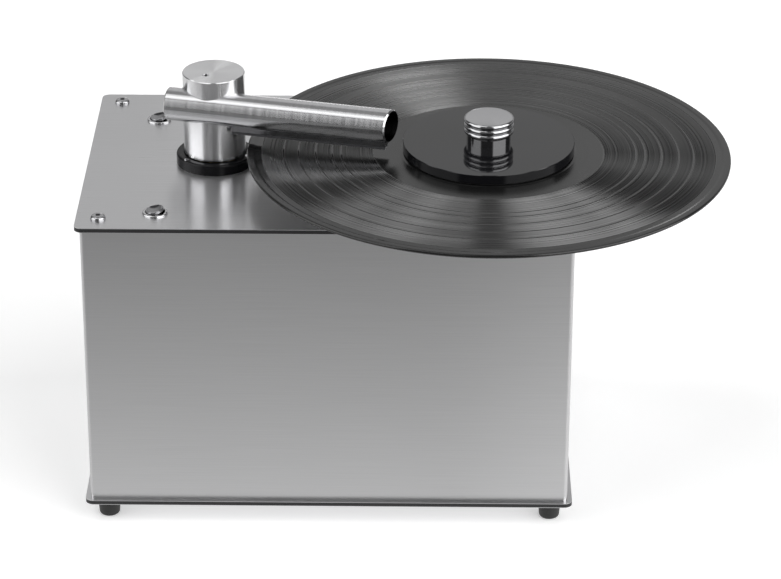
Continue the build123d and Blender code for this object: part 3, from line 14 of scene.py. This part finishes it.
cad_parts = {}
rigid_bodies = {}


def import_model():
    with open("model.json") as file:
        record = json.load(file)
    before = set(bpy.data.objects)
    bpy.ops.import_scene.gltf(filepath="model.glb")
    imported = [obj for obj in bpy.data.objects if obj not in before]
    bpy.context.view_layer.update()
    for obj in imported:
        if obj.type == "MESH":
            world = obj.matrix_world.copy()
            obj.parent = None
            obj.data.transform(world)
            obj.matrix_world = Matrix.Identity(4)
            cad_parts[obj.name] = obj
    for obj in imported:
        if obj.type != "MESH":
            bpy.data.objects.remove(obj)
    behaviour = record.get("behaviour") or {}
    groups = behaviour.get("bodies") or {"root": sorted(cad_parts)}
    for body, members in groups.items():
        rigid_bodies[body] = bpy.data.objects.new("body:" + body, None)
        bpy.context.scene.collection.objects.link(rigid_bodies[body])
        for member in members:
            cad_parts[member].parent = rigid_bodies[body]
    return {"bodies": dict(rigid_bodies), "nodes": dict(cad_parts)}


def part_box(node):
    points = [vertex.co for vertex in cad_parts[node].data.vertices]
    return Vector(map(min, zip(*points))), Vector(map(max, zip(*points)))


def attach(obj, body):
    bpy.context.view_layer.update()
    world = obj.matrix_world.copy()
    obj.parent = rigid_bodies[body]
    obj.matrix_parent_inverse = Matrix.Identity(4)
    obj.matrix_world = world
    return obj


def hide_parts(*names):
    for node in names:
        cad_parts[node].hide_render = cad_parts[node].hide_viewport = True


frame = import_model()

nodes = frame["nodes"]
machine = set(nodes.values()) | set(frame["bodies"].values())
for leftover in [o for o in bpy.data.objects if o not in machine]:
    bpy.data.objects.remove(leftover)
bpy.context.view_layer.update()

MM = 0.001
UP = (0, 0, 1)

# ---------------------------------------------------------------- places read from the frame
record_low, record_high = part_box("record")
spindle_axis = (record_low + record_high) / 2
spindle_axis.z = 0
post_low, post_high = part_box("arm_post")
arm_axis = (post_low + post_high) / 2
arm_axis.z = 0
wall_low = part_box("case_wrap")[0]


# ---------------------------------------------------------------- small tools for shader trees
def feed(tree, socket, value):
    """Gives a socket either a link, when the value is another node's output, or a plain number."""
    if isinstance(value, bpy.types.NodeSocket):
        tree.links.new(value, socket)
    else:
        socket.default_value = value


def calculate(tree, operation, *values, vector=False):
    """One step of arithmetic on numbers, or on vectors, inside a shader tree."""
    node = tree.nodes.new("ShaderNodeVectorMath" if vector else "ShaderNodeMath")
    node.operation = operation
    for socket, value in zip(node.inputs, values):
        feed(tree, socket, value)
    wants_number = vector and operation in ("LENGTH", "DOT_PRODUCT", "DISTANCE")
    return node.outputs["Value" if wants_number or not vector else "Vector"]


def rescale(tree, value, low, high, to_low, to_high, soft=False):
    """Maps low..high to to_low..to_high and holds it there outside, along an S curve when soft."""
    node = tree.nodes.new("ShaderNodeMapRange")
    node.interpolation_type = "SMOOTHSTEP" if soft else "LINEAR"
    names = ("Value", "From Min", "From Max", "To Min", "To Max")
    for name, given in zip(names, (value, low, high, to_low, to_high)):
        feed(tree, node.inputs[name], given)
    return node.outputs["Result"]


def place_on_piece(tree):
    """The point being shaded, in the piece's own metres."""
    return tree.nodes.new("ShaderNodeTexCoord").outputs["Object"]


def noise(tree, place, spacing, detail=3.0):
    """Soft random values about 0.5 that repeat roughly every `spacing` metres along X, Y and Z."""
    stretch = calculate(tree, "DIVIDE", place, spacing, vector=True)
    node = tree.nodes.new("ShaderNodeTexNoise")
    node.inputs["Scale"].default_value = 1.0
    node.inputs["Detail"].default_value = detail
    tree.links.new(stretch, node.inputs["Vector"])
    return node.outputs["Fac"]


def noise_along(tree, distance, spacing, detail=2.0):
    """Soft random values about 0.5 along one distance only, so they draw lines across it."""
    node = tree.nodes.new("ShaderNodeTexNoise")
    node.noise_dimensions = "1D"
    node.inputs["Scale"].default_value = 1 / spacing
    node.inputs["Detail"].default_value = detail
    tree.links.new(distance, node.inputs["W"])
    return node.outputs["Fac"]


def bump(tree, shader, height, depth):
    """Raises the surface by up to `depth` metres where height is 1."""
    node = tree.nodes.new("ShaderNodeBump")
    node.inputs["Distance"].default_value = depth
    tree.links.new(height, node.inputs["Height"])
    tree.links.new(node.outputs["Normal"], shader.inputs["Normal"])


def new_finish(name, colour, metallic=0.0, roughness=0.5, **sockets):
    """A material with one Principled shader. Returns the material, its tree and the shader."""
    material = bpy.data.materials.new(name)
    material.use_nodes = True
    tree = material.node_tree
    tree.nodes.clear()
    shader = tree.nodes.new("ShaderNodeBsdfPrincipled")
    output = tree.nodes.new("ShaderNodeOutputMaterial")
    tree.links.new(shader.outputs["BSDF"], output.inputs["Surface"])
    shader.inputs["Base Color"].default_value = (*colour, 1.0)
    shader.inputs["Metallic"].default_value = metallic
    shader.inputs["Roughness"].default_value = roughness
    for socket, value in sockets.items():
        shader.inputs[socket.replace("_", " ")].default_value = value
    material.diffuse_color = (*colour, 1.0)
    return material, tree, shader


def across_noise(tree, value, low, high):
    """Spreads noise, which mostly lies between 0.3 and 0.7, over low..high."""
    return rescale(tree, value, 0.3, 0.7, low, high)


def vary_colour(tree, shader, value, colour, spread, shade=1.0):
    """Lets noise move the colour by plus or minus `spread` of itself, times a shade of 0 to 1."""
    factor = calculate(tree, "MULTIPLY", across_noise(tree, value, 1 - spread, 1 + spread), shade)
    scaled = calculate(tree, "SCALE", colour, vector=True)
    feed(tree, scaled.node.inputs["Scale"], factor)
    tree.links.new(scaled, shader.inputs["Base Color"])


def across(tree, shader, direction):
    """Stretches highlights across brush marks that run along `direction`.

    The tangent is the cross product of that direction with the surface's normal, so it lies in the
    surface at right angles to the marks, whichever way the surface faces.
    """
    coordinates = tree.nodes.new("ShaderNodeTexCoord")
    tangent = calculate(tree, "CROSS_PRODUCT", direction, coordinates.outputs["Normal"], vector=True)
    tangent = calculate(tree, "NORMALIZE", tangent, vector=True)
    turn = tree.nodes.new("ShaderNodeVectorTransform")
    turn.vector_type, turn.convert_from, turn.convert_to = "VECTOR", "OBJECT", "WORLD"
    tree.links.new(tangent, turn.inputs["Vector"])
    tree.links.new(turn.outputs["Vector"], shader.inputs["Tangent"])


def lathe_coordinates(tree, centre, axis):
    """For a turned piece: the direction round its axis, the distance out from it, the height along it."""
    offset = calculate(tree, "SUBTRACT", place_on_piece(tree), tuple(centre), vector=True)
    height = calculate(tree, "DOT_PRODUCT", offset, tuple(axis), vector=True)
    around = calculate(tree, "CROSS_PRODUCT", tuple(axis), offset, vector=True)
    radius = calculate(tree, "LENGTH", around, vector=True)
    return calculate(tree, "NORMALIZE", around, vector=True), radius, height


# ---------------------------------------------------------------- finishes
def brushed_metal(name, colour, roughness, grain, streak_spread=0.04, anisotropic=0.9):
    """Metal brushed one way: fine streaks move its colour and its gloss.

    The grain has a 1 for each axis that the streaks run along. With two, they run level round a wall.
    """
    material, tree, shader = new_finish(name, colour, 1.0, roughness, Anisotropic=anisotropic)
    long_way, short_way = 60 * MM, 0.5 * MM
    blotch_size, scratch_depth = (90 * MM, 50 * MM, 50 * MM), 0.004 * MM
    streak_gloss, blotch_gloss = 0.02, 0.01
    spacing = tuple(long_way if along else short_way for along in grain)
    streak = noise(tree, place_on_piece(tree), spacing)
    blotch = noise(tree, place_on_piece(tree), blotch_size)
    vary_colour(tree, shader, streak, colour, streak_spread)
    gloss = calculate(tree, "ADD", across_noise(tree, streak, -streak_gloss, streak_gloss),
                      across_noise(tree, blotch, roughness - blotch_gloss, roughness + blotch_gloss))
    tree.links.new(gloss, shader.inputs["Roughness"])
    bump(tree, shader, streak, scratch_depth)
    # A face square to the grain has no marks along it, so a touch of another way gives it a tangent.
    touch = 0.001
    if sum(grain) == 1:
        across(tree, shader, (grain[0] + touch, grain[1] + touch, grain[2]))
    else:
        facing = tree.nodes.new("ShaderNodeTexCoord").outputs["Normal"]
        level = calculate(tree, "CROSS_PRODUCT", UP, facing, vector=True)
        across(tree, shader, calculate(tree, "ADD", level, (0, touch, 0), vector=True))
    return material


def turned_metal(name, colour, roughness, centre, axis=UP, line_spacing=0.6 * MM, line_spread=0.05,
                 anisotropic=0.95, bore=0.0):
    """Metal off a lathe: fine tool lines go round the axis, so highlights stretch along it.

    Inside the bore's radius the colour falls to near black: painted shade in the hollow of the bore.
    """
    material, tree, shader = new_finish(name, colour, 1.0, roughness, Anisotropic=anisotropic)
    around, radius, height = lathe_coordinates(tree, centre, axis)
    lines = noise_along(tree, calculate(tree, "ADD", radius, height), line_spacing)
    # Painted shade: within the bore's radius the colour is scaled down to a few percent, standing in for
    # the dark inside of the tube.
    bore_shade, bore_shade_edge, line_depth = 0.03, 0.1 * MM, 0.001 * MM
    outside = rescale(tree, radius, bore - bore_shade_edge, bore, bore_shade, 1)
    vary_colour(tree, shader, lines, colour, line_spread, outside)
    gloss = across_noise(tree, lines, roughness * 0.9, roughness * 1.1)
    tree.links.new(gloss, shader.inputs["Roughness"])
    bump(tree, shader, lines, line_depth)
    across(tree, shader, around)
    return material


def polished_metal(name, colour, roughness=0.12):
    """Bright metal with faint clouding from handling."""
    material, tree, shader = new_finish(name, colour, 1.0, roughness)
    cloud_size, spread = 6 * MM, 0.03
    cloud = noise(tree, place_on_piece(tree), (cloud_size,) * 3)
    vary_colour(tree, shader, cloud, colour, spread)
    gloss = across_noise(tree, cloud, roughness * 0.8, roughness * 1.3)
    tree.links.new(gloss, shader.inputs["Roughness"])
    return material


def gloss_black(name, colour, roughness=0.05):
    """Black lacquer: a clear mirror over a dark ground, with the faintest ripple in its gloss."""
    material, tree, shader = new_finish(name, colour, 0.0, roughness, IOR=1.5)
    ripple_size, spread = 20 * MM, 0.1
    ripple = noise(tree, place_on_piece(tree), (ripple_size,) * 3)
    vary_colour(tree, shader, ripple, colour, spread)
    gloss = across_noise(tree, ripple, roughness * 0.8, roughness * 1.2)
    tree.links.new(gloss, shader.inputs["Roughness"])
    return material


def moulded(name, colour, roughness, grain_size=0.8 * MM, depth=0.02 * MM, spread=0.06, shine=0.5):
    """Moulded plastic, rubber or enamel: a fine even grain with slightly uneven gloss.

    Shine is how much the surface mirrors when seen square on: 0.5 for a common plastic, less if dull.
    """
    material, tree, shader = new_finish(name, colour, 0.0, roughness, Specular_IOR_Level=shine)
    cloud_size = 12 * MM
    grain = noise(tree, place_on_piece(tree), (grain_size,) * 3)
    cloud = noise(tree, place_on_piece(tree), (cloud_size,) * 3)
    vary_colour(tree, shader, cloud, colour, spread)
    gloss = across_noise(tree, cloud, roughness * 0.92, roughness * 1.08)
    tree.links.new(gloss, shader.inputs["Roughness"])
    bump(tree, shader, grain, depth)
    return material


def pile_fabric(name, colour):
    """Short velvet pile: rough, with a pale sheen at grazing angles and fine tufts."""
    material, tree, shader = new_finish(name, colour, 0.0, 0.95, Sheen_Weight=0.6, Sheen_Roughness=0.4)
    tuft_spacing, tuft_height, spread = 0.5 * MM, 0.3 * MM, 0.4
    tufts = noise(tree, place_on_piece(tree), (tuft_spacing,) * 3)
    vary_colour(tree, shader, tufts, colour, spread)
    bump(tree, shader, tufts, tuft_height)
    return material


def grooved_vinyl(name, colour):
    """Pressed vinyl. The mesh's own "grooved" attribute is 1 on a track and 0 on a smooth land.

    A land is a plain gloss. On a track the groove walls lean outward and are small bright facets, so
    the track is shaded as a dark metal whose light spreads out from and in to the spindle. Fine noise
    along the radius draws single turns.
    """
    material, tree, shader = new_finish(name, colour, 0.0, 0.4, Anisotropic=0.95, IOR=1.5)
    around, radius = lathe_coordinates(tree, spindle_axis, UP)[:2]
    grooved = tree.nodes.new("ShaderNodeAttribute")
    grooved.attribute_name = "grooved"
    track = grooved.outputs["Fac"]
    turn_spacing, passage_width = 1.1 * MM, 9 * MM
    land_gloss, track_gloss, turn_gloss, passage_gloss = 0.16, 0.31, 0.07, 0.04
    facet_brightness, facet_spread, wall_slope = 0.14, 0.35, 0.85
    turns = noise_along(tree, radius, turn_spacing, 4.0)
    loudness = noise_along(tree, radius, passage_width, 2.0)
    brightness = calculate(tree, "MULTIPLY", across_noise(tree, turns, 1 - facet_spread, 1 + facet_spread),
                           rescale(tree, track, 0, 1, colour[0], facet_brightness))
    shade = tree.nodes.new("ShaderNodeCombineXYZ")
    for socket in shade.inputs:
        tree.links.new(brightness, socket)
    tree.links.new(shade.outputs["Vector"], shader.inputs["Base Color"])
    tree.links.new(track, shader.inputs["Metallic"])
    wander = calculate(tree, "ADD", across_noise(tree, turns, -turn_gloss, turn_gloss),
                       across_noise(tree, loudness, -passage_gloss, passage_gloss))
    gloss = calculate(tree, "ADD", rescale(tree, track, 0, 1, land_gloss, track_gloss),
                      calculate(tree, "MULTIPLY", wander, track))
    tree.links.new(gloss, shader.inputs["Roughness"])
    coordinates = tree.nodes.new("ShaderNodeTexCoord")
    outward = calculate(tree, "CROSS_PRODUCT", around, UP, vector=True)
    lean = calculate(tree, "SCALE", outward, vector=True)
    feed(tree, lean.node.inputs["Scale"], calculate(tree, "MULTIPLY", track, wall_slope))
    leaned = calculate(tree, "ADD", coordinates.outputs["Normal"], lean, vector=True)
    normal = calculate(tree, "NORMALIZE", leaned, vector=True)
    turn = tree.nodes.new("ShaderNodeVectorTransform")
    turn.vector_type, turn.convert_from, turn.convert_to = "NORMAL", "OBJECT", "WORLD"
    tree.links.new(normal, turn.inputs["Vector"])
    tree.links.new(turn.outputs["Vector"], shader.inputs["Normal"])
    across(tree, shader, around)
    return material


# The suction tube passes in front of the post's axis, turned a little towards the user's side.
tube_low, tube_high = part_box("suction_tube")
tube_turn = radians(-13.6)
tube_direction = (cos(tube_turn), sin(tube_turn), 0.0)
tube_ahead = 12.3 * MM
tube_centre = Vector((arm_axis.x + tube_ahead * sin(tube_turn),
                      arm_axis.y - tube_ahead * cos(tube_turn),
                      (tube_low.z + tube_high.z) / 2))

# Grains: along X, or level round a wall.
ALONG_X, LEVEL = (1, 0, 0), (1, 1, 0)
finishes = {
    "brushed_skin": brushed_metal("brushed aluminium plate", (0.70, 0.70, 0.71), 0.30, ALONG_X),
    "panel_core": moulded("black panel core", (0.012, 0.012, 0.013), 0.45, 0.4 * MM),
    "case_metal": brushed_metal("satin case metal", (0.60, 0.60, 0.605), 0.32, LEVEL, 0.03, 0.6),
    "polished_metal": polished_metal("polished metal", (0.80, 0.80, 0.81)),
    "steel_fastener": polished_metal("bright fastener steel", (0.42, 0.42, 0.43), 0.18),
    "turned_steel": turned_metal("turned steel", (0.56, 0.56, 0.57), 0.25, spindle_axis),
    "grey_alloy": moulded("machined alloy", (0.45, 0.45, 0.46), 0.35),
    "bearing_brass": turned_metal("bearing brass", (0.62, 0.46, 0.2), 0.25, spindle_axis),
    "black_acetal": moulded("black acetal", (0.02, 0.02, 0.022), 0.35),
    "black_gloss": gloss_black("black lacquer", (0.006, 0.006, 0.007)),
    "record_vinyl": grooved_vinyl("grooved vinyl", (0.008, 0.008, 0.009)),
    "black_rubber": moulded("black rubber", (0.014, 0.014, 0.014), 0.55),
    "velvet": pile_fabric("velvet pile", (0.03, 0.03, 0.033)),
    "tank_plastic": moulded("natural polyethylene", (0.72, 0.73, 0.72), 0.45),
    "motor_paint": moulded("satin motor enamel", (0.05, 0.05, 0.055), 0.35),
    "spring_steel": polished_metal("drawn spring wire", (0.5, 0.5, 0.51), 0.25),
    "terminal_plastic": moulded("terminal plastic", (0.55, 0.55, 0.52), 0.5),
}
turned_post = turned_metal("turned arm post", (0.73, 0.73, 0.74), 0.18, arm_axis,
                           line_spread=0.02, anisotropic=1.0)
turned_knob = turned_metal("turned clamp knob", (0.47, 0.47, 0.48), 0.12, spindle_axis,
                           line_spread=0.02, anisotropic=0.7)
# The bore's radius sets where painted shade darkens the inside of the tube.
turned_tube = turned_metal("polished suction tube", (0.60, 0.60, 0.61), 0.19, tube_centre, tube_direction,
                           3 * MM, 0.03, anisotropic=1.0, bore=9.7 * MM)
satin_rocker = polished_metal("satin rocker metal", (0.30, 0.30, 0.31), 0.3)
switch_bezel = polished_metal("switch bezel metal", (0.58, 0.58, 0.59))

own_finish = {
    "arm_post": turned_post,
    "clamp_knob": turned_knob,
    "suction_tube": turned_tube,
    "tube_end_plug": turned_tube,
    "clamp_disc": finishes["black_gloss"],
    "arm_flange": moulded("black anodised flange", (0.006, 0.006, 0.007), 0.22, 0.6 * MM, 0.002 * MM,
                          shine=0.18),
    "motor_rocker": satin_rocker,
    "suction_rocker": satin_rocker,
    "motor_switch_body": switch_bezel,
    "suction_switch_body": switch_bezel,
    "lip_bar": polished_metal("dark lip metal", (0.30, 0.30, 0.31), 0.2),
    "flange_screws": finishes["polished_metal"],
}
for name, piece in nodes.items():
    for slot in piece.material_slots:
        slot.material = own_finish.get(name) or finishes[slot.material.name]


# ---------------------------------------------------------------- pieces worked out as surfaces
def turned_piece(name, centre, radii, heights, segments, finish, closed=False, **attributes):
    """A surface of revolution about the upright line through `centre`.

    Point (i, j) is the centre plus radius i times (cos, sin) of angle j, at height i. The rows run
    up the profile and the columns go once round. A closed profile joins its last row to its first.
    Each attribute holds one number a row.
    """
    angles = np.linspace(0, 2 * np.pi, segments, endpoint=False)
    radii, heights = np.asarray(radii), np.asarray(heights)
    points = np.stack([centre[0] + np.outer(radii, np.cos(angles)),
                       centre[1] + np.outer(radii, np.sin(angles)),
                       np.repeat(heights[:, None], segments, axis=1)], axis=-1).reshape(-1, 3)
    rows = len(radii)
    low = np.arange(rows if closed else rows - 1)[:, None]
    column = np.arange(segments)[None, :]
    high, after = (low + 1) % rows, (column + 1) % segments
    faces = np.stack([low * segments + column, low * segments + after,
                      high * segments + after, high * segments + column], axis=-1).reshape(-1, 4)
    mesh = bpy.data.meshes.new(name)
    mesh.from_pydata(points, [], faces)
    for label, values in attributes.items():
        layer = mesh.attributes.new(label, "FLOAT", "POINT")
        layer.data.foreach_set("value", np.repeat(np.asarray(values, float), segments))
    mesh.shade_smooth()
    mesh.materials.append(finish)
    piece = bpy.data.objects.new(name, mesh)
    bpy.context.scene.collection.objects.link(piece)
    return piece


def pressed_record():
    """The record: a label land, a run-out land, six grooved tracks with narrow gaps, a rounded rim.

    The top's height is a sum of soft steps in the radius: down from the label to the playing
    surface and up again to the rim bead. The underside mirrors it, and the rim is a half circle.
    """
    outer, thickness = (record_high.x - record_low.x) / 2, record_high.z - record_low.z
    hole, label_edge, track_start, track_end, bead = np.array([3.8, 54.5, 72, 141.5, 146]) * MM
    gaps = np.array([92.0, 97.6, 107.8, 118.5, 127.8]) * MM
    gap_half, groove_depth, step, row_pitch = 0.5 * MM, 0.3 * MM, 0.7 * MM, 0.35 * MM
    rim, rim_rows, segments = thickness / 2, 13, 256
    flat = np.concatenate([np.linspace(hole, label_edge - step, 6),
                           np.linspace(label_edge, label_edge + 2 * step, 8),
                           np.linspace(label_edge + 3 * step, track_start - step, 8),
                           np.arange(track_start, track_end, row_pitch),
                           np.linspace(track_end + 0.2 * MM, outer - rim, 36)])

    def soft_step(radius, at, width):
        """Goes from 0 to 1 over `width` about `at`, level at both ends."""
        t = np.clip((radius - at) / width + 0.5, 0, 1)
        return t * t * (3 - 2 * t)

    sunk = soft_step(flat, label_edge, 2 * step) * (1 - soft_step(flat, bead, 3 * step))
    grooved = soft_step(flat, track_start, step) * (1 - soft_step(flat, track_end, step))
    for gap in gaps:
        grooved *= np.clip(np.abs(flat - gap) / gap_half - 0.4, 0, 1)
    top = record_high.z - groove_depth * sunk
    bottom = record_low.z + groove_depth * sunk
    turn = np.linspace(0, np.pi, rim_rows)[1:-1]
    middle = (record_low.z + record_high.z) / 2
    keep = np.arange(0, len(flat), 4)  # the underside lies on the mat, so every fourth row will do
    keep = keep[keep < len(flat) - 1]
    radii = np.concatenate([[*flat], outer - rim + rim * np.sin(turn), [flat[-1]], flat[keep][::-1]])
    heights = np.concatenate([top, middle + rim * np.cos(turn), [bottom[-1]], bottom[keep][::-1]])
    marks = np.concatenate([grooved, np.zeros(len(turn) + 1), grooved[keep][::-1]])
    return turned_piece("pressed_record", spindle_axis, radii[::-1], heights[::-1], segments,
                        finishes["record_vinyl"], closed=True, grooved=marks[::-1])


record_piece = pressed_record()
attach(record_piece, "turntable")
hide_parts("record")


# ---------------------------------------------------------------- floor
def add_floor():
    """A round floor. It keeps soft shadows for the eye and has a glow of its own for reflections.

    The glow fades with the distance ahead of the wall, later and from a brighter start on the right.
    """
    radius, segments = 9.0, 96
    angles = np.linspace(0, 2 * np.pi, segments, endpoint=False)
    ring = np.stack([radius * np.cos(angles), radius * np.sin(angles), np.zeros(segments)], axis=-1)
    mesh = bpy.data.meshes.new("floor")
    mesh.from_pydata(ring, [], [list(range(segments))])
    floor = bpy.data.objects.new("floor", mesh)
    bpy.context.scene.collection.objects.link(floor)
    material, tree, shader = new_finish("pale floor", (0.9, 0.9, 0.9), 0.0, 0.9, Specular_IOR_Level=0.0)
    output = next(n for n in tree.nodes if n.type == "OUTPUT_MATERIAL")
    path = tree.nodes.new("ShaderNodeLightPath")
    shader.inputs["Emission Color"].default_value = (1, 1, 1, 1)
    camera_lift = 0.3
    tree.links.new(calculate(tree, "MULTIPLY", path.outputs["Is Camera Ray"], camera_lift),
                   shader.inputs["Emission Strength"])
    parts = tree.nodes.new("ShaderNodeSeparateXYZ")
    tree.links.new(place_on_piece(tree), parts.inputs["Vector"])
    ahead = calculate(tree, "SUBTRACT", wall_low.y, parts.outputs["Y"])
    middle, right = 30 * MM, 140 * MM
    near_glow = rescale(tree, parts.outputs["X"], middle, right, 0.82, 1.00)
    fade_end = rescale(tree, parts.outputs["X"], middle, right, 500 * MM, 640 * MM)
    fade_start, far_glow = 20 * MM, 0.24
    glow = rescale(tree, ahead, fade_start, fade_end, near_glow, far_glow)
    emission = tree.nodes.new("ShaderNodeEmission")
    tree.links.new(glow, emission.inputs["Strength"])
    choose = tree.nodes.new("ShaderNodeMixShader")
    tree.links.new(path.outputs["Is Glossy Ray"], choose.inputs[0])
    tree.links.new(shader.outputs["BSDF"], choose.inputs[1])
    tree.links.new(emission.outputs["Emission"], choose.inputs[2])
    tree.links.new(choose.outputs["Shader"], output.inputs["Surface"])
    mesh.materials.append(material)


add_floor()

# ---------------------------------------------------------------- studio light
# Each window of light: azimuth of its middle (0 is the front, positive to the right), half its
# width, elevation of its middle, half its height, softness of its edges, and its strength.
DIM_ROOM = 0.12
LIGHT_WINDOWS = (
    (0, 180, 90, 28, 8, 0.40),  # overhead
    (180, 40, 34, 22, 7, 0.66),  # behind: what the level surfaces mirror
    (-62, 48, 64, 9, 4, 2.00),  # high on the left and on the right: the record's bright fan
    (56, 38, 64, 9, 4, 2.10),
    (-178.3, 1.6, 4.5, 7.5, 1, 2.60),  # a narrow strip low behind: the fan on the far side
    (-73, 31, 16, 30, 4, 2.00),  # tall boxes on the left and on the right: bands on the post
    (60, 38, 16, 32, 4, 3.00),
)


def light_studio():
    """A world of soft rectangular windows of light in a dim room, with pure white for the eye."""
    world = bpy.data.worlds.new("studio")
    bpy.context.scene.world = world
    world.use_nodes = True
    tree = world.node_tree
    tree.nodes.clear()
    parts = tree.nodes.new("ShaderNodeSeparateXYZ")
    tree.links.new(tree.nodes.new("ShaderNodeTexCoord").outputs["Generated"], parts.inputs["Vector"])
    x, y, z = (parts.outputs[name] for name in "XYZ")
    to_degrees = 180 / np.pi
    ahead = calculate(tree, "MULTIPLY", y, -1.0)
    azimuth = calculate(tree, "MULTIPLY", calculate(tree, "ARCTAN2", x, ahead), to_degrees)
    elevation = calculate(tree, "MULTIPLY", calculate(tree, "ARCSINE", z), to_degrees)
    level = DIM_ROOM
    for middle, half_width, height, half_height, softness, strength in LIGHT_WINDOWS:
        offset = calculate(tree, "SUBTRACT", azimuth, float(middle))
        sideways = calculate(tree, "ABSOLUTE", calculate(tree, "WRAP", offset, 180.0, -180.0))
        upward = calculate(tree, "ABSOLUTE", calculate(tree, "SUBTRACT", elevation, float(height)))
        inside_width, inside_height = (
            rescale(tree, away, half - softness, half + softness, 1, 0, soft=True)
            for away, half in ((sideways, half_width), (upward, half_height)))
        mask = calculate(tree, "MULTIPLY", inside_width, inside_height)
        gain = calculate(tree, "MULTIPLY", mask, calculate(tree, "SUBTRACT", float(strength), level))
        level = calculate(tree, "ADD", level, gain)
    background = tree.nodes.new("ShaderNodeBackground")
    path = tree.nodes.new("ShaderNodeLightPath")
    seen = rescale(tree, path.outputs["Is Camera Ray"], 0, 1, level, 1.0)
    tree.links.new(seen, background.inputs["Strength"])
    output = tree.nodes.new("ShaderNodeOutputWorld")
    tree.links.new(background.outputs["Background"], output.inputs["Surface"])
    background.inputs["Color"].default_value = (1, 1, 1, 1)


light_studio()


# ---------------------------------------------------------------- camera
def place_camera():
    """A long lens from above the front edge, looking down at the plate."""
    pitch, yaw, roll = radians(26.528), radians(-0.384), radians(0.226)
    eye = Vector((2.85, -1834.9, 1048.3)) * MM
    ahead = Vector((sin(yaw) * cos(pitch), cos(yaw) * cos(pitch), -sin(pitch)))
    level_right = Vector((cos(yaw), -sin(yaw), 0))
    level_up = level_right.cross(ahead)
    right = cos(roll) * level_right + sin(roll) * level_up
    up = cos(roll) * level_up - sin(roll) * level_right
    data = bpy.data.cameras.new("camera")
    data.sensor_width = 36.0
    data.lens = 148.26
    data.clip_end = 50.0
    camera = bpy.data.objects.new("camera", data)
    bpy.context.scene.collection.objects.link(camera)
    camera.matrix_world = Matrix.Translation(eye) @ Matrix((right, up, -ahead)).transposed().to_4x4()
    bpy.context.scene.camera = camera


place_camera()
bpy.context.scene.view_settings.view_transform = "Standard"
